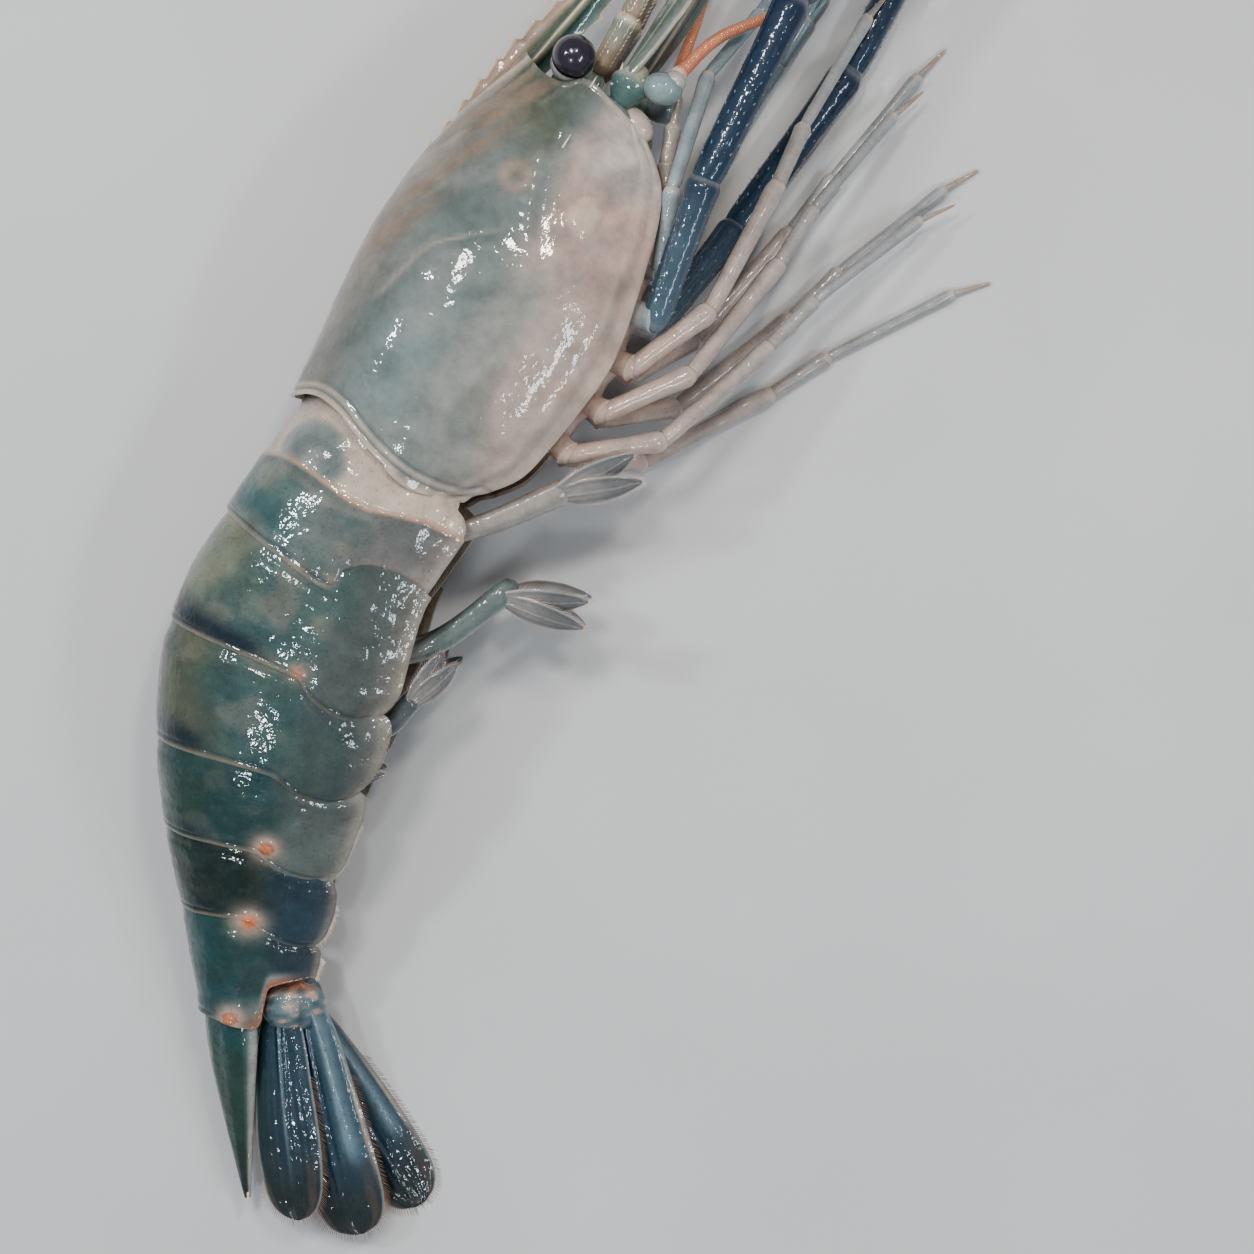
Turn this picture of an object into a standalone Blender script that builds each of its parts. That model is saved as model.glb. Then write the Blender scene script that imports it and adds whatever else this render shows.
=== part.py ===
"""Giant river prawn, life size, lying on its left side on a flat floor.

The sagittal plane is almost level, so +Z is the animal's right side.
Body coordinates, in millimetres, are (a, d, w): a runs forward along the body,
d runs from belly to back, and w runs from the middle to the animal's right.
a = 0 is the middle of the carapace, and the abdomen follows at negative a.
"""

import math

import bmesh
import bpy
from mathutils import Matrix, Vector

MM = 0.001
GAP = 0.3                 # space that touching pieces keep

# The line of the body, seen from above
CARAPACE_HEADING = 60.0   # degrees from +X
CARAPACE_REAR = -28.9     # a of the joint between carapace and abdomen
SOMITE_LENGTHS = (16.9, 14.7, 14.5, 11.7, 10.9, 12.4)
SOMITE_HEADINGS = (64.0, 67.0, 73.0, 80.0, 84.0, 89.0)
TAIL_HEADING = 95.0
TAIL_LENGTH = 44.0
SPINE_STEP = 0.25

# Height of the sagittal plane above the floor, at the joints and at the tail's tip
CARAPACE_HEIGHT = 16.1
JOINT_HEIGHTS = (16.1, 15.0, 13.3, 12.2, 10.3, 8.6, 7.2)
TAIL_HEIGHT = 4.2
TAIL_ROLL = 10.0          # degrees that the back turns up towards the tail

# Carapace: a stations with back height, half width and depth of the lower margin
CARAPACE_A = (-28.9, -20.0, -10.0, 0.0, 10.0, 20.0, 27.0, 33.0)
CARAPACE_TOP = (15.2, 16.0, 17.0, 17.6, 16.8, 14.9, 12.8, 11.0)
CARAPACE_WIDTH = (13.6, 15.4, 16.4, 16.4, 15.2, 12.6, 10.2, 8.6)
MARGIN_A = (-29.0, -27.0, -21.0, -15.0, -5.8, 1.0, 10.0, 17.3, 22.9, 26.0, 30.0, 33.0)
MARGIN_DEPTH = (12.5, 14.0, 18.8, 20.4, 21.8, 22.0, 20.2, 18.4, 16.4, 14.4, 9.6, 7.0)
MARGIN_TUCK = 56.0        # degrees that the flank curls in at the margin
# Rear and front edges of the carapace: a at heights d
REAR_EDGE_D = (-14.0, -9.5, -2.3, 5.6, 10.0, 15.2)
REAR_EDGE_A = (-27.1, -28.0, -27.1, -25.0, -24.6, -27.2)
FRONT_EDGE_D = (-9.6, -4.0, 0.9, 3.0, 6.3, 9.0, 11.2)
FRONT_EDGE_A = (30.0, 31.5, 32.6, 30.7, 30.4, 31.5, 33.0)
CARAPACE_WALL = 1.0
CARAPACE_ROOF_WALL = 4.0

# Rostrum: a stations with its ridge, upper edge, lower edge and half width
ROSTRUM_A = (12.0, 24.0, 32.0, 38.0, 44.0, 56.0, 68.0, 80.0, 88.0)
ROSTRUM_RIDGE = (15.4, 12.6, 9.6, 8.6, 7.6, 5.6, 6.4, 9.8, 14.3)
ROSTRUM_TOP = (16.6, 15.0, 13.6, 11.9, 10.0, 7.7, 8.0, 10.9, 14.6)
ROSTRUM_LOW = (14.4, 10.8, 7.4, 6.0, 4.8, 3.2, 4.3, 8.7, 14.0)
ROSTRUM_HALF = (0.5, 1.4, 3.2, 2.3, 1.6, 1.2, 1.0, 0.7, 0.3)
ROSTRUM_EDGE = 0.28
BACK_TEETH = (15.0, 18.8, 22.6, 26.4, 30.2, 34.0, 37.8, 41.8, 46.5, 52.5, 60.0, 70.0, 79.0)
BELLY_TEETH = (43.0, 47.5, 52.0, 56.5, 61.0, 65.5, 70.0, 74.5, 79.0, 83.0)
BACK_TOOTH = 1.0
BELLY_TOOTH = 0.8
TOOTH_LENGTH = 3.4

# Abdomen: half width, back height and depth of the side plates at the seven joints
ABDOMEN_WIDTH = (13.0, 13.6, 13.6, 12.6, 10.6, 8.6, 6.6)
ABDOMEN_TOP = (14.4, 17.0, 18.4, 15.5, 12.3, 9.0, 6.6)
PLATE_DEPTH = (15.2, 15.8, 17.6, 16.9, 14.2, 12.4, 9.4)
PLATE_TUCK = 0.30         # share of the width that a side plate loses at its edge
PLATE_ROUND = 0.17        # share of the depth lost at a plate's corners
PLATE_WALL = 0.8
PLATE_ROOF_WALL = 3.0
# Shape of each joint's line: offset in a at heights d, from belly to back
JOINT_LINES = (
    None,
    ((-16.0, 2.0), (-10.0, 2.9), (-5.0, 2.2), (0.0, 0.0), (8.0, 1.1), (17.0, 2.4)),
    ((-17.6, -0.6), (-13.5, -3.4), (-8.7, -4.2), (-4.0, -2.8), (0.0, 0.0), (18.0, 0.3)),
    ((-17.0, 1.2), (-12.0, -2.0), (-6.0, -1.6), (0.0, 0.0), (15.0, 0.0)),
    ((-14.0, -4.4), (-8.0, -3.6), (-2.6, -1.8), (0.0, 0.0), (12.0, 0.6)),
    ((-12.4, -5.0), (-8.0, -4.3), (-2.4, -2.0), (0.0, 0.0), (9.0, 0.4)),
    ((-9.4, 3.0), (-6.0, 3.4), (-2.5, 2.2), (1.0, -1.5), (3.8, -3.4), (7.0, -2.6)),
)
COLUMNS = 9               # points from the back's middle to a plate's edge
ROOF_COLUMN = 6           # the hollow between the side plates starts here
SOMITE_STATIONS = (0.0, 0.12, 0.38, 0.64, 0.88, 1.0)
SOMITE_FLARE = (-0.035, 0.0, 0.006, 0.006, 0.004, 0.022)

# Head block in front of the carapace: height d, front face a, half width
HEAD_LEVELS = (
    (6.2, 34.4, 2.8), (5.6, 35.2, 3.1), (2.2, 35.4, 3.2), (2.0, 35.4, 4.4), (0.9, 35.3, 4.5), (-0.9, 35.2, 4.6),
    (-1.1, 33.4, 7.8), (-5.5, 32.8, 8.0), (-9.2, 31.6, 6.2),
)

# Eyes
STALK_BASE = (33.6, 4.1)
STALK_LENGTH = 3.6
STALK_RADII = (1.35, 1.9, 2.5)
CORNEA_RADIUS = 3.15

# Antennules, antennae and their scales
ANTENNULE_PATH = ((0.0, 0.6, 2.6), (7.0, 0.5, 3.0), (14.0, 0.6, 3.6), (22.0, 0.9, 4.2))
ANTENNULE_RADII = (1.7, 1.9, 1.5, 1.2)
# Each whip: length, turn towards the back at its root, further turn by its tip
ANTENNULE_FLAGELLA = {
    "right": ((74.0, 3.0, 14.0), (66.0, -1.0, -6.0), (52.0, -5.0, -24.0)),
    "left": ((74.0, 12.0, 16.0), (66.0, 3.0, 2.0), (52.0, -6.0, -14.0)),
}
FLAGELLUM_RADIUS = 0.62
TIP_RADIUS = 0.27
SCALE_LENGTH = 33.0
SCALE_HALF_WIDTH = 4.8
SCALE_TILT = 24.0
BASICERITE = (-4.6, 6.4)
PEDUNCLE_BALL = (37.2, -9.0, 7.8)
BALL_RADIUS = 2.7
ANTENNA_RADIUS = 0.95
RIGHT_ANTENNA = (
    (34.5, 35.6, 20.5), (43.0, 39.8, 17.6), (58.0, 47.5, 13.2), (75.0, 57.5, 8.2), (91.0, 72.0, 3.6),
    (104.0, 92.0, 1.0), (113.0, 118.0, 0.7), (119.0, 146.0, 0.6), (121.0, 176.0, 0.55), (119.0, 206.0, 0.5),
)
LEFT_ANTENNA = (
    (30.0, 36.5, 4.6), (33.5, 48.0, 2.0), (36.0, 66.0, 0.9), (36.5, 90.0, 0.8), (33.0, 116.0, 0.7),
    (25.5, 143.0, 0.65), (14.5, 170.0, 0.6), (0.5, 195.0, 0.55), (-15.5, 217.0, 0.5),
)

# Thorax floor and legs
THORAX_A = (-21.0, -17.0, -10.0, -3.0, 4.0, 11.0, 17.0, 22.5, 25.0)
THORAX_KEEL = 1.0
COXA_LENGTH = 3.0
CLAW_COXA = 4.0
LEG_SHARES = (0.07, 0.28, 0.78, 0.96)
LEG_SWELL = (0.84, 1.0, 0.98, 1.12)
# name: root (a, w), radii of the segments, lengths, then headings and end heights right and left
LEGS = {
    "pereopod_1": {
        "coxa": 1.6,
        "root": (14.0, 2.8), "radii": (1.2, 1.25, 1.15, 1.0, 1.05, 0.7), "lengths": (12.4, 18.7, 13.5, 8.0, 7.0),
        "right": ((80, 73, 52, 54, 50), (23.0, 18.0, 13.2, 11.2, 9.6)),
        "left": ((68, 61, 58, 58, 56), (1.7, 1.25, 1.1, 1.05, 0.55)),
    },
    "pereopod_3": {
        "root": (0.5, 4.3), "radii": (1.9, 1.6, 1.4, 1.2, 0.95, 0.6), "lengths": (14.0, 22.0, 10.0, 20.0, 6.0),
        "right": ((37, 62, 66, 60, 50), (20.0, 15.0, 12.5, 8.0, 7.0)),
        "left": ((33, 48, 52, 50, 45), (1.8, 1.5, 1.2, 0.9, 0.5)),
    },
    "pereopod_4": {
        "root": (-6.5, 4.3), "radii": (1.9, 1.55, 1.35, 1.15, 0.9, 0.6), "lengths": (14.0, 22.0, 10.0, 20.0, 6.0),
        "right": ((25, 52, 58, 50, 40), (19.0, 13.0, 10.5, 5.2, 3.8)),
        "left": ((12, 38, 44, 38, 30), (1.7, 1.45, 1.2, 0.9, 0.5)),
    },
    "pereopod_5": {
        "root": (-13.5, 4.3), "radii": (1.9, 1.5, 1.3, 1.1, 0.85, 0.55), "lengths": (14.0, 22.0, 10.0, 21.0, 6.0),
        "right": ((2, 40, 45, 38, 25), (18.0, 12.0, 9.5, 4.6, 3.4)),
        "left": ((-10, 26, 32, 26, 15), (1.7, 1.4, 1.15, 0.85, 0.5)),
    },
}
MAXILLIPED_ROOT = (20.0, 2.0)
MAXILLIPED_PATH = ((24.5, -17.2, 2.9), (29.0, -14.4, 2.6), (34.0, -12.6, 2.4), (38.5, -11.2, 2.4))
MAXILLIPED_RADII = (1.2, 1.25, 1.25, 1.15, 0.8)
CLAW_ROOT = (7.5, 4.5)
CLAW_LENGTHS = (21.0, 28.9, 42.0, 33.0, 25.0)
CLAW_RADII = (2.1, 2.3, 2.55, 2.5, 2.75, 1.5)
CLAW_HEADINGS = {"right": (70, 64, 38, 50, 56), "left": (52, 54, 62, 70, 76)}
CLAW_HEIGHTS = {"right": (25.4, 24.4, 11.5, 6.2, 3.2), "left": (3.0, 2.7, 2.6, 2.75, 1.9)}

# Pleopods: root half spacing, forward swing of stem and blades, one value a pair
PLEOPOD_W = (4.4, 4.6, 4.9, 3.4, 2.9)
PLEOPOD_SWING = (50.0, 61.0, 70.0, 64.0, 62.0)
PLEOPOD_BLADE_SWING = (42.0, 18.0, 58.0, 54.0, 54.0)
PLEOPOD_STEM = (15.0, 14.5, 12.5, 9.5, 8.0)
PLEOPOD_BLADE = (17.0, 15.0, 12.0, 8.5, 7.5)

# Tail fan
TELSON_LENGTH = 26.0
TELSON_HALF_WIDTH = 4.6
TELSON_HEIGHT = 5.2
TELSON_ROLL = 22.0
UROPOD_BASE_LENGTH = 6.0
ENDOPOD_LENGTH = 28.5
EXOPOD_LENGTH = 34.0

# Colours, as linear red, green and blue, with roughness
FINISHES = {
    "carapace_shell": ((0.42, 0.44, 0.42), 0.22),
    "abdomen_shell": ((0.16, 0.26, 0.24), 0.22),
    "tail_shell": ((0.04, 0.11, 0.15), 0.25),
    "claw_shell": ((0.03, 0.07, 0.16), 0.3),
    "leg_shell": ((0.45, 0.40, 0.34), 0.3),
    "feeler": ((0.60, 0.28, 0.16), 0.4),
    "swimmeret": ((0.42, 0.38, 0.34), 0.3),
    "cornea": ((0.03, 0.025, 0.04), 0.1),
}


def smooth(stations, values, x):
    """A smooth curve through the values at rising stations, level beyond both ends."""
    if x <= stations[0]:
        return values[0]
    if x >= stations[-1]:
        return values[-1]
    i = max(k for k in range(len(stations) - 1) if stations[k] <= x)
    span = stations[i + 1] - stations[i]

    def slope(k):
        low, high = max(k - 1, 0), min(k + 1, len(stations) - 1)
        return (values[high] - values[low]) / (stations[high] - stations[low])

    t = (x - stations[i]) / span
    return (
        values[i] * (1 + 2 * t) * (1 - t) ** 2
        + values[i + 1] * t * t * (3 - 2 * t)
        + span * slope(i) * t * (1 - t) ** 2
        - span * slope(i + 1) * t * t * (1 - t)
    )


def joint_positions():
    """a of the seven joints, from the carapace to the tail fan."""
    positions = [CARAPACE_REAR]
    for length in SOMITE_LENGTHS:
        positions.append(positions[-1] - length)
    return positions


JOINTS = joint_positions()
JOINTS_RISING = JOINTS[::-1]


def build_spine():
    """Centre points and frames every SPINE_STEP behind the carapace."""
    mids = [-(JOINTS[i] + JOINTS[i + 1]) / 2 for i in range(6)]
    places = [-CARAPACE_REAR, *mids, -JOINTS[6] + 10]
    headings = [CARAPACE_HEADING, *SOMITE_HEADINGS, TAIL_HEADING]
    tail_end = -JOINTS[6] + TAIL_LENGTH
    heights_at = [-j for j in JOINTS] + [tail_end]
    heights = [*JOINT_HEIGHTS, TAIL_HEIGHT]
    start = math.radians(CARAPACE_HEADING)
    x, y = CARAPACE_REAR * math.cos(start), CARAPACE_REAR * math.sin(start)
    rows, back = [], -CARAPACE_REAR
    while back < tail_end + 2:
        turn = math.radians(smooth(places, headings, back))
        z = smooth(heights_at, heights, back)
        fall = (smooth(heights_at, heights, back + 0.5) - smooth(heights_at, heights, back - 0.5))
        forward = Vector((math.cos(turn), math.sin(turn), -fall)).normalized()
        side = (Vector((0, 0, 1)) - forward * forward.z).normalized()
        up = side.cross(forward)
        roll = math.radians(smooth((-JOINTS[2], -JOINTS[6]), (0.0, TAIL_ROLL), back))
        rows.append((
            Vector((x, y, z)), forward,
            up * math.cos(roll) + side * math.sin(roll),
            side * math.cos(roll) - up * math.sin(roll),
        ))
        x -= SPINE_STEP * math.cos(turn)
        y -= SPINE_STEP * math.sin(turn)
        back += SPINE_STEP
    return rows


SPINE = build_spine()


def body_frame(a):
    """Centre, forward, back and right directions of the body at a."""
    if a >= CARAPACE_REAR:
        turn = math.radians(CARAPACE_HEADING)
        forward = Vector((math.cos(turn), math.sin(turn), 0))
        centre = forward * a + Vector((0, 0, CARAPACE_HEIGHT))
        return centre, forward, Vector((-forward.y, forward.x, 0)), Vector((0, 0, 1))
    place = (CARAPACE_REAR - a) / SPINE_STEP
    i = min(int(place), len(SPINE) - 2)
    t = place - i
    return tuple(SPINE[i][k].lerp(SPINE[i + 1][k], t) for k in range(4))


def body_point(a, d, w):
    centre, _, up, side = body_frame(a)
    return centre + up * d + side * w


def slot_material(name):
    material = bpy.data.materials.get(name)
    if material:
        return material
    colour, roughness = FINISHES[name]
    material = bpy.data.materials.new(name)
    material.use_nodes = True
    shader = material.node_tree.nodes["Principled BSDF"]
    shader.inputs["Base Color"].default_value = (*colour, 1)
    shader.inputs["Roughness"].default_value = roughness
    shader.inputs["Metallic"].default_value = 0.0
    material.diffuse_color = (*colour, 1)
    return material


def clear_scene():
    for obj in list(bpy.data.objects):
        bpy.data.objects.remove(obj)
    prawn = bpy.data.collections.new("giant_river_prawn")
    bpy.context.scene.collection.children.link(prawn)
    return prawn


PRAWN = clear_scene()


def add_object(name, bm, slot):
    """Makes an object from a bmesh in millimetres, cut flat where it reaches the floor."""
    bmesh.ops.recalc_face_normals(bm, faces=bm.faces)
    if bm.calc_volume(signed=True) < 0:
        bmesh.ops.reverse_faces(bm, faces=bm.faces)
    if min(v.co.z for v in bm.verts) < 0:
        cut = bmesh.ops.bisect_plane(
            bm, geom=bm.verts[:] + bm.edges[:] + bm.faces[:], dist=1e-5,
            plane_co=(0, 0, 0), plane_no=(0, 0, -1), clear_outer=True,
        )
        rim = [e for e in cut["geom_cut"] if isinstance(e, bmesh.types.BMEdge)]
        bmesh.ops.holes_fill(bm, edges=rim, sides=0)
        bmesh.ops.remove_doubles(bm, verts=bm.verts, dist=1e-3)
        bmesh.ops.recalc_face_normals(bm, faces=bm.faces)
    bmesh.ops.triangulate(bm, faces=[f for f in bm.faces if len(f.verts) > 3])
    bmesh.ops.scale(bm, vec=(MM, MM, MM), verts=bm.verts)
    mesh = bpy.data.meshes.new(name)
    bm.to_mesh(mesh)
    bm.free()
    mesh.materials.append(slot_material(slot))
    mesh.shade_smooth()
    mesh.set_sharp_from_angle(angle=math.radians(40))
    obj = bpy.data.objects.new(name, mesh)
    PRAWN.objects.link(obj)
    return obj


def loft(name, loops, slot, strips=None):
    """A closed body through loops of equal count, with the two halves of each loop split into triangles alike.

    strips lists the caps' polygons as indices into a loop; without it each cap is one polygon."""
    bm = bmesh.new()
    rings = [[bm.verts.new(p) for p in loop] for loop in loops]
    count = len(loops[0])
    for near, far in zip(rings, rings[1:]):
        for j in range(count):
            k = (j + 1) % count
            if j < count // 2:
                bm.faces.new((near[j], near[k], far[k]))
                bm.faces.new((near[j], far[k], far[j]))
            else:
                bm.faces.new((near[j], near[k], far[j]))
                bm.faces.new((near[k], far[k], far[j]))
    for ring in (rings[0], rings[-1]):
        for polygon in strips or [range(count)]:
            bm.faces.new([ring[j] for j in polygon])
    return add_object(name, bm, slot)


def tube(name, points, radii, slot, sides=6):
    """A tapered tube along points: a curve with a round bevel, made a closed mesh."""
    curve = bpy.data.curves.new(name, "CURVE")
    curve.dimensions = "3D"
    curve.bevel_depth = 1.0
    curve.bevel_resolution = sides // 2 - 2
    curve.use_fill_caps = True
    spline = curve.splines.new("POLY")
    spline.points.add(len(points) - 1)
    for node, point, radius in zip(spline.points, points, radii):
        node.co = (*point, 1)
        node.radius = radius
    guide = bpy.data.objects.new(name + "_line", curve)
    PRAWN.objects.link(guide)
    bpy.context.view_layer.update()
    evaluated = guide.evaluated_get(bpy.context.evaluated_depsgraph_get())
    bm = bmesh.new()
    bm.from_mesh(bpy.data.meshes.new_from_object(evaluated))
    bpy.data.objects.remove(guide)
    bmesh.ops.remove_doubles(bm, verts=bm.verts, dist=1e-4)
    return add_object(name, bm, slot)


def fuse(name, pieces):
    """Joins closed bodies into the first by one union, and keeps the largest surface."""
    body, others = pieces[0], pieces[1:]
    body.name = name
    body.data.name = name
    group = bpy.data.collections.new(name + "_pieces")
    bpy.context.scene.collection.children.link(group)
    for piece in others:
        PRAWN.objects.unlink(piece)
        group.objects.link(piece)
    union = body.modifiers.new("union", "BOOLEAN")
    union.operation = "UNION"
    union.solver = "MANIFOLD"
    union.operand_type = "COLLECTION"
    union.collection = group
    bpy.context.view_layer.update()
    evaluated = body.evaluated_get(bpy.context.evaluated_depsgraph_get())
    joined = bpy.data.meshes.new_from_object(evaluated)
    body.modifiers.clear()
    body.data = joined
    for piece in others:
        bpy.data.objects.remove(piece)
    bpy.data.collections.remove(group)
    keep_largest(body.data)
    return body


def keep_largest(mesh):
    bm = bmesh.new()
    bm.from_mesh(mesh)
    left, shells = set(bm.verts), []
    while left:
        stack, shell = [left.pop()], set()
        while stack:
            vert = stack.pop()
            shell.add(vert)
            for edge in vert.link_edges:
                other = edge.other_vert(vert)
                if other in left:
                    left.remove(other)
                    stack.append(other)
        shells.append(shell)
    shells.sort(key=len)
    bmesh.ops.delete(bm, geom=[v for shell in shells[:-1] for v in shell], context="VERTS")
    bm.to_mesh(mesh)
    bm.free()


def margin_depth(a):
    return smooth(MARGIN_A, MARGIN_DEPTH, a)


def carapace_section(a, share):
    """Height and half width on the carapace at a, from the back's middle to the margin."""
    top = smooth(CARAPACE_A, CARAPACE_TOP, a)
    half = smooth(CARAPACE_A, CARAPACE_WIDTH, a)
    if share <= 0.5:
        turn = share * math.pi
        return top * math.cos(turn), half * math.sin(turn)
    tuck = math.radians(MARGIN_TUCK)
    turn = (share - 0.5) * 2 * tuck
    return -margin_depth(a) * math.sin(turn) / math.sin(tuck), half * math.cos(turn)


def rear_edge(d):
    return smooth(REAR_EDGE_D, REAR_EDGE_A, d)


def front_edge(d):
    return smooth(FRONT_EDGE_D, FRONT_EDGE_A, d)


def shell_loop(right, roof_column, wall, roof_wall):
    """A closed loop round an arch: right lists (a, d, w) from the back's middle to the right margin.

    Below roof_column the arch is a wall with a hollow between its two sides."""
    last = len(right) - 1
    inner = []
    for j in range(roof_column, last + 1):
        a, d, w = right[j]
        share = (last - j) / max(last - roof_column, 1)
        inner.append((a, d, w - wall - (roof_wall - wall) * share))
    if roof_column >= last:
        inner = []
    side = right + inner[::-1]
    mirrored = [(a, d, -w) for a, d, w in side[1:]][::-1]
    return [body_point(*p) for p in side + mirrored]


def shell_strips(columns, roof_column):
    """The polygons that close one end of a shell_loop, in strips of equal height."""
    last = columns - 1
    inner = 0 if roof_column >= last else last - roof_column + 1
    count = 1 + 2 * (last + inner)

    def left(j):
        return count - j

    strips = [(0, 1, left(1))]
    full = last if inner == 0 else roof_column
    for j in range(1, full):
        strips.append((j, j + 1, left(j + 1), left(j)))
    if inner == 0:
        return strips
    row = full  # the strip's lower edge also carries the two corners of the hollow
    strips[-1] = (row - 1, row, last + inner, left(last + inner), left(row), left(row - 1))
    for j in range(roof_column, last):
        inside, next_inside = last + inner - (j - roof_column), last + inner - (j + 1 - roof_column)
        strips.append((j, j + 1, next_inside, inside))
        strips.append((left(j), left(inside), left(next_inside), left(j + 1)))
    return strips


def carapace_loops(stations, columns, roof_column):
    loops = []
    for share in stations:
        right = []
        for j in range(columns):
            u = j / (columns - 1)
            a = CARAPACE_REAR + (33.0 - CARAPACE_REAR) * share
            for _ in range(3):
                d, w = carapace_section(a, u)
                a = rear_edge(d) + (front_edge(d) - rear_edge(d)) * share
            right.append((a, d, w))
        loops.append(shell_loop(right, roof_column, CARAPACE_WALL, CARAPACE_ROOF_WALL))
    return loops


def tooth_height(a, tips, length, height):
    """Height of a saw edge whose teeth lean forward and end at tips."""
    for tip in tips:
        if tip - length <= a <= tip:
            return height * (a - tip + length) / length
    return 0.0


def rostrum_loops():
    step = 0.15
    places = {ROSTRUM_A[0], ROSTRUM_A[-1]}
    for tips in (BACK_TEETH, BELLY_TEETH):
        for tip in tips:
            places |= {tip, tip + step}
    ordered = sorted(places)
    kept = [ordered[0]]
    for place in ordered[1:]:
        if place - kept[-1] > 0.1:
            kept.append(place)
    loops = []
    for a in kept:
        ridge = smooth(ROSTRUM_A, ROSTRUM_RIDGE, a)
        top = smooth(ROSTRUM_A, ROSTRUM_TOP, a) + tooth_height(a, BACK_TEETH, TOOTH_LENGTH, BACK_TOOTH)
        low = smooth(ROSTRUM_A, ROSTRUM_LOW, a) - tooth_height(a, BELLY_TEETH, TOOTH_LENGTH, BELLY_TOOTH)
        half = smooth(ROSTRUM_A, ROSTRUM_HALF, a)
        edge = min(ROSTRUM_EDGE, half)
        loops.append([
            body_point(a, top, edge), body_point(a, ridge, half), body_point(a, low, edge),
            body_point(a, low, -edge), body_point(a, ridge, -half), body_point(a, top, -edge),
        ])
    return loops


def spine_cone(name, base, tip, radius, slot):
    return tube(name, [base, tip], [radius, 0.12], slot, sides=6)


def make_carapace():
    columns, roof = 13, 10
    stations = [0.5 - 0.5 * math.cos(math.pi * i / 12) for i in range(13)]
    body = loft("carapace_body", carapace_loops(stations, columns, roof), "carapace_shell",
                shell_strips(columns, roof))
    pieces = [body, loft("rostrum", rostrum_loops(), "carapace_shell")]
    for side in (1, -1):
        for label, a, share, reach in (("antennal", 31.2, 0.50, 3.0), ("hepatic", 22.0, 0.53, 3.4)):
            d, w = carapace_section(a, share)
            base = body_point(a - 1.0, d, (w - 0.9) * side)
            tip = body_point(a + reach, d - 0.2, (w + 0.5) * side)
            pieces.append(spine_cone(label, base, tip, 0.8, "carapace_shell"))
    return fuse("carapace", pieces)


def joint_line(n, d):
    """a of joint n at height d."""
    if n == 0:
        return rear_edge(d)
    shape = JOINT_LINES[n]
    return JOINTS[n] + smooth([p[0] for p in shape], [p[1] for p in shape], d)


def abdomen_section(a, share, corner):
    """Height and half width on the abdomen at a; corner, 0 to 1, shortens the plate near its ends."""
    width = smooth(JOINTS_RISING, ABDOMEN_WIDTH[::-1], a)
    top = smooth(JOINTS_RISING, ABDOMEN_TOP[::-1], a)
    depth = smooth(JOINTS_RISING, PLATE_DEPTH[::-1], a) * (1 - PLATE_ROUND * corner)
    if share <= 0.5:
        turn = share * math.pi
        return top * math.cos(turn), width * math.sin(turn)
    low = (share - 0.5) * 2
    return -depth * low, width * (1 - PLATE_TUCK * low * low)


def somite_loops(n, stations, flares, columns, roof_column, plate_round=True):
    """Loops of abdomen segment n, from its front joint line to its rear one."""
    loops = []
    for share, flare in zip(stations, flares):
        corner = abs(2 * share - 1) ** 4 if plate_round else 0.0
        right = []
        for j in range(columns):
            u = j / (columns - 1)
            a = JOINTS[n] + (JOINTS[n + 1] - JOINTS[n]) * share
            for _ in range(3):
                d, w = abdomen_section(a, u, corner)
                d, w = d * (1 + flare), w * (1 + flare)
                front = joint_line(n, d) - GAP * (0.5 if n else 1.0)
                rear = joint_line(n + 1, d) + GAP * 0.5
                a = front + (rear - front) * share
            right.append((a, d, w))
        loops.append(shell_loop(right, roof_column, PLATE_WALL, PLATE_ROOF_WALL))
    return loops


def make_somites():
    for n in range(6):
        roof = ROOF_COLUMN if n < 5 else COLUMNS - 1
        loops = somite_loops(n, SOMITE_STATIONS, SOMITE_FLARE, COLUMNS, roof, plate_round=n < 5)
        loft(f"abdomen_segment_{n + 1}", loops, "abdomen_shell", shell_strips(COLUMNS, roof))


def make_head():
    """The block that closes the carapace's front and carries the eyes and feelers."""
    loops = []
    for d, front, half in HEAD_LEVELS:
        rear = front_edge(d) + GAP
        loops.append([
            body_point(front, d, half), body_point(rear, d, half + 0.2),
            body_point(rear, d, -half - 0.2), body_point(front, d, -half),
        ])
    loft("head", loops, "carapace_shell")


def make_eyes():
    for label, side in (("right", 1), ("left", -1)):
        a, d = STALK_BASE
        start = body_point(a, d, (3.2 + GAP + 0.05) * side)
        _, forward, up, out = body_frame(a)
        line = (out * side + forward * 0.2).normalized()
        points = [start, start + out * side * 1.2, start + line * STALK_LENGTH * 0.7, start + line * STALK_LENGTH]
        tube(f"eyestalk_{label}", points, [STALK_RADII[0], STALK_RADII[0], STALK_RADII[1], STALK_RADII[2]],
             "leg_shell", sides=8)
        make_cornea(label, start + line * (STALK_LENGTH + GAP), line)


def make_cornea(label, seat, line):
    """A ball with a flat seat on the end of its stalk."""
    bm = bmesh.new()
    bmesh.ops.create_uvsphere(bm, u_segments=14, v_segments=9, radius=CORNEA_RADIUS)
    turn = line.to_track_quat("Z", "Y").to_matrix().to_4x4()
    centre = seat + line * (CORNEA_RADIUS * 0.52)
    bm.transform(Matrix.Translation(centre) @ turn)
    cut = bmesh.ops.bisect_plane(
        bm, geom=bm.verts[:] + bm.edges[:] + bm.faces[:], dist=1e-5,
        plane_co=seat, plane_no=-line, clear_outer=True,
    )
    bmesh.ops.holes_fill(bm, edges=[e for e in cut["geom_cut"] if isinstance(e, bmesh.types.BMEdge)], sides=0)
    add_object(f"eye_{label}", bm, "cornea")


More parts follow.
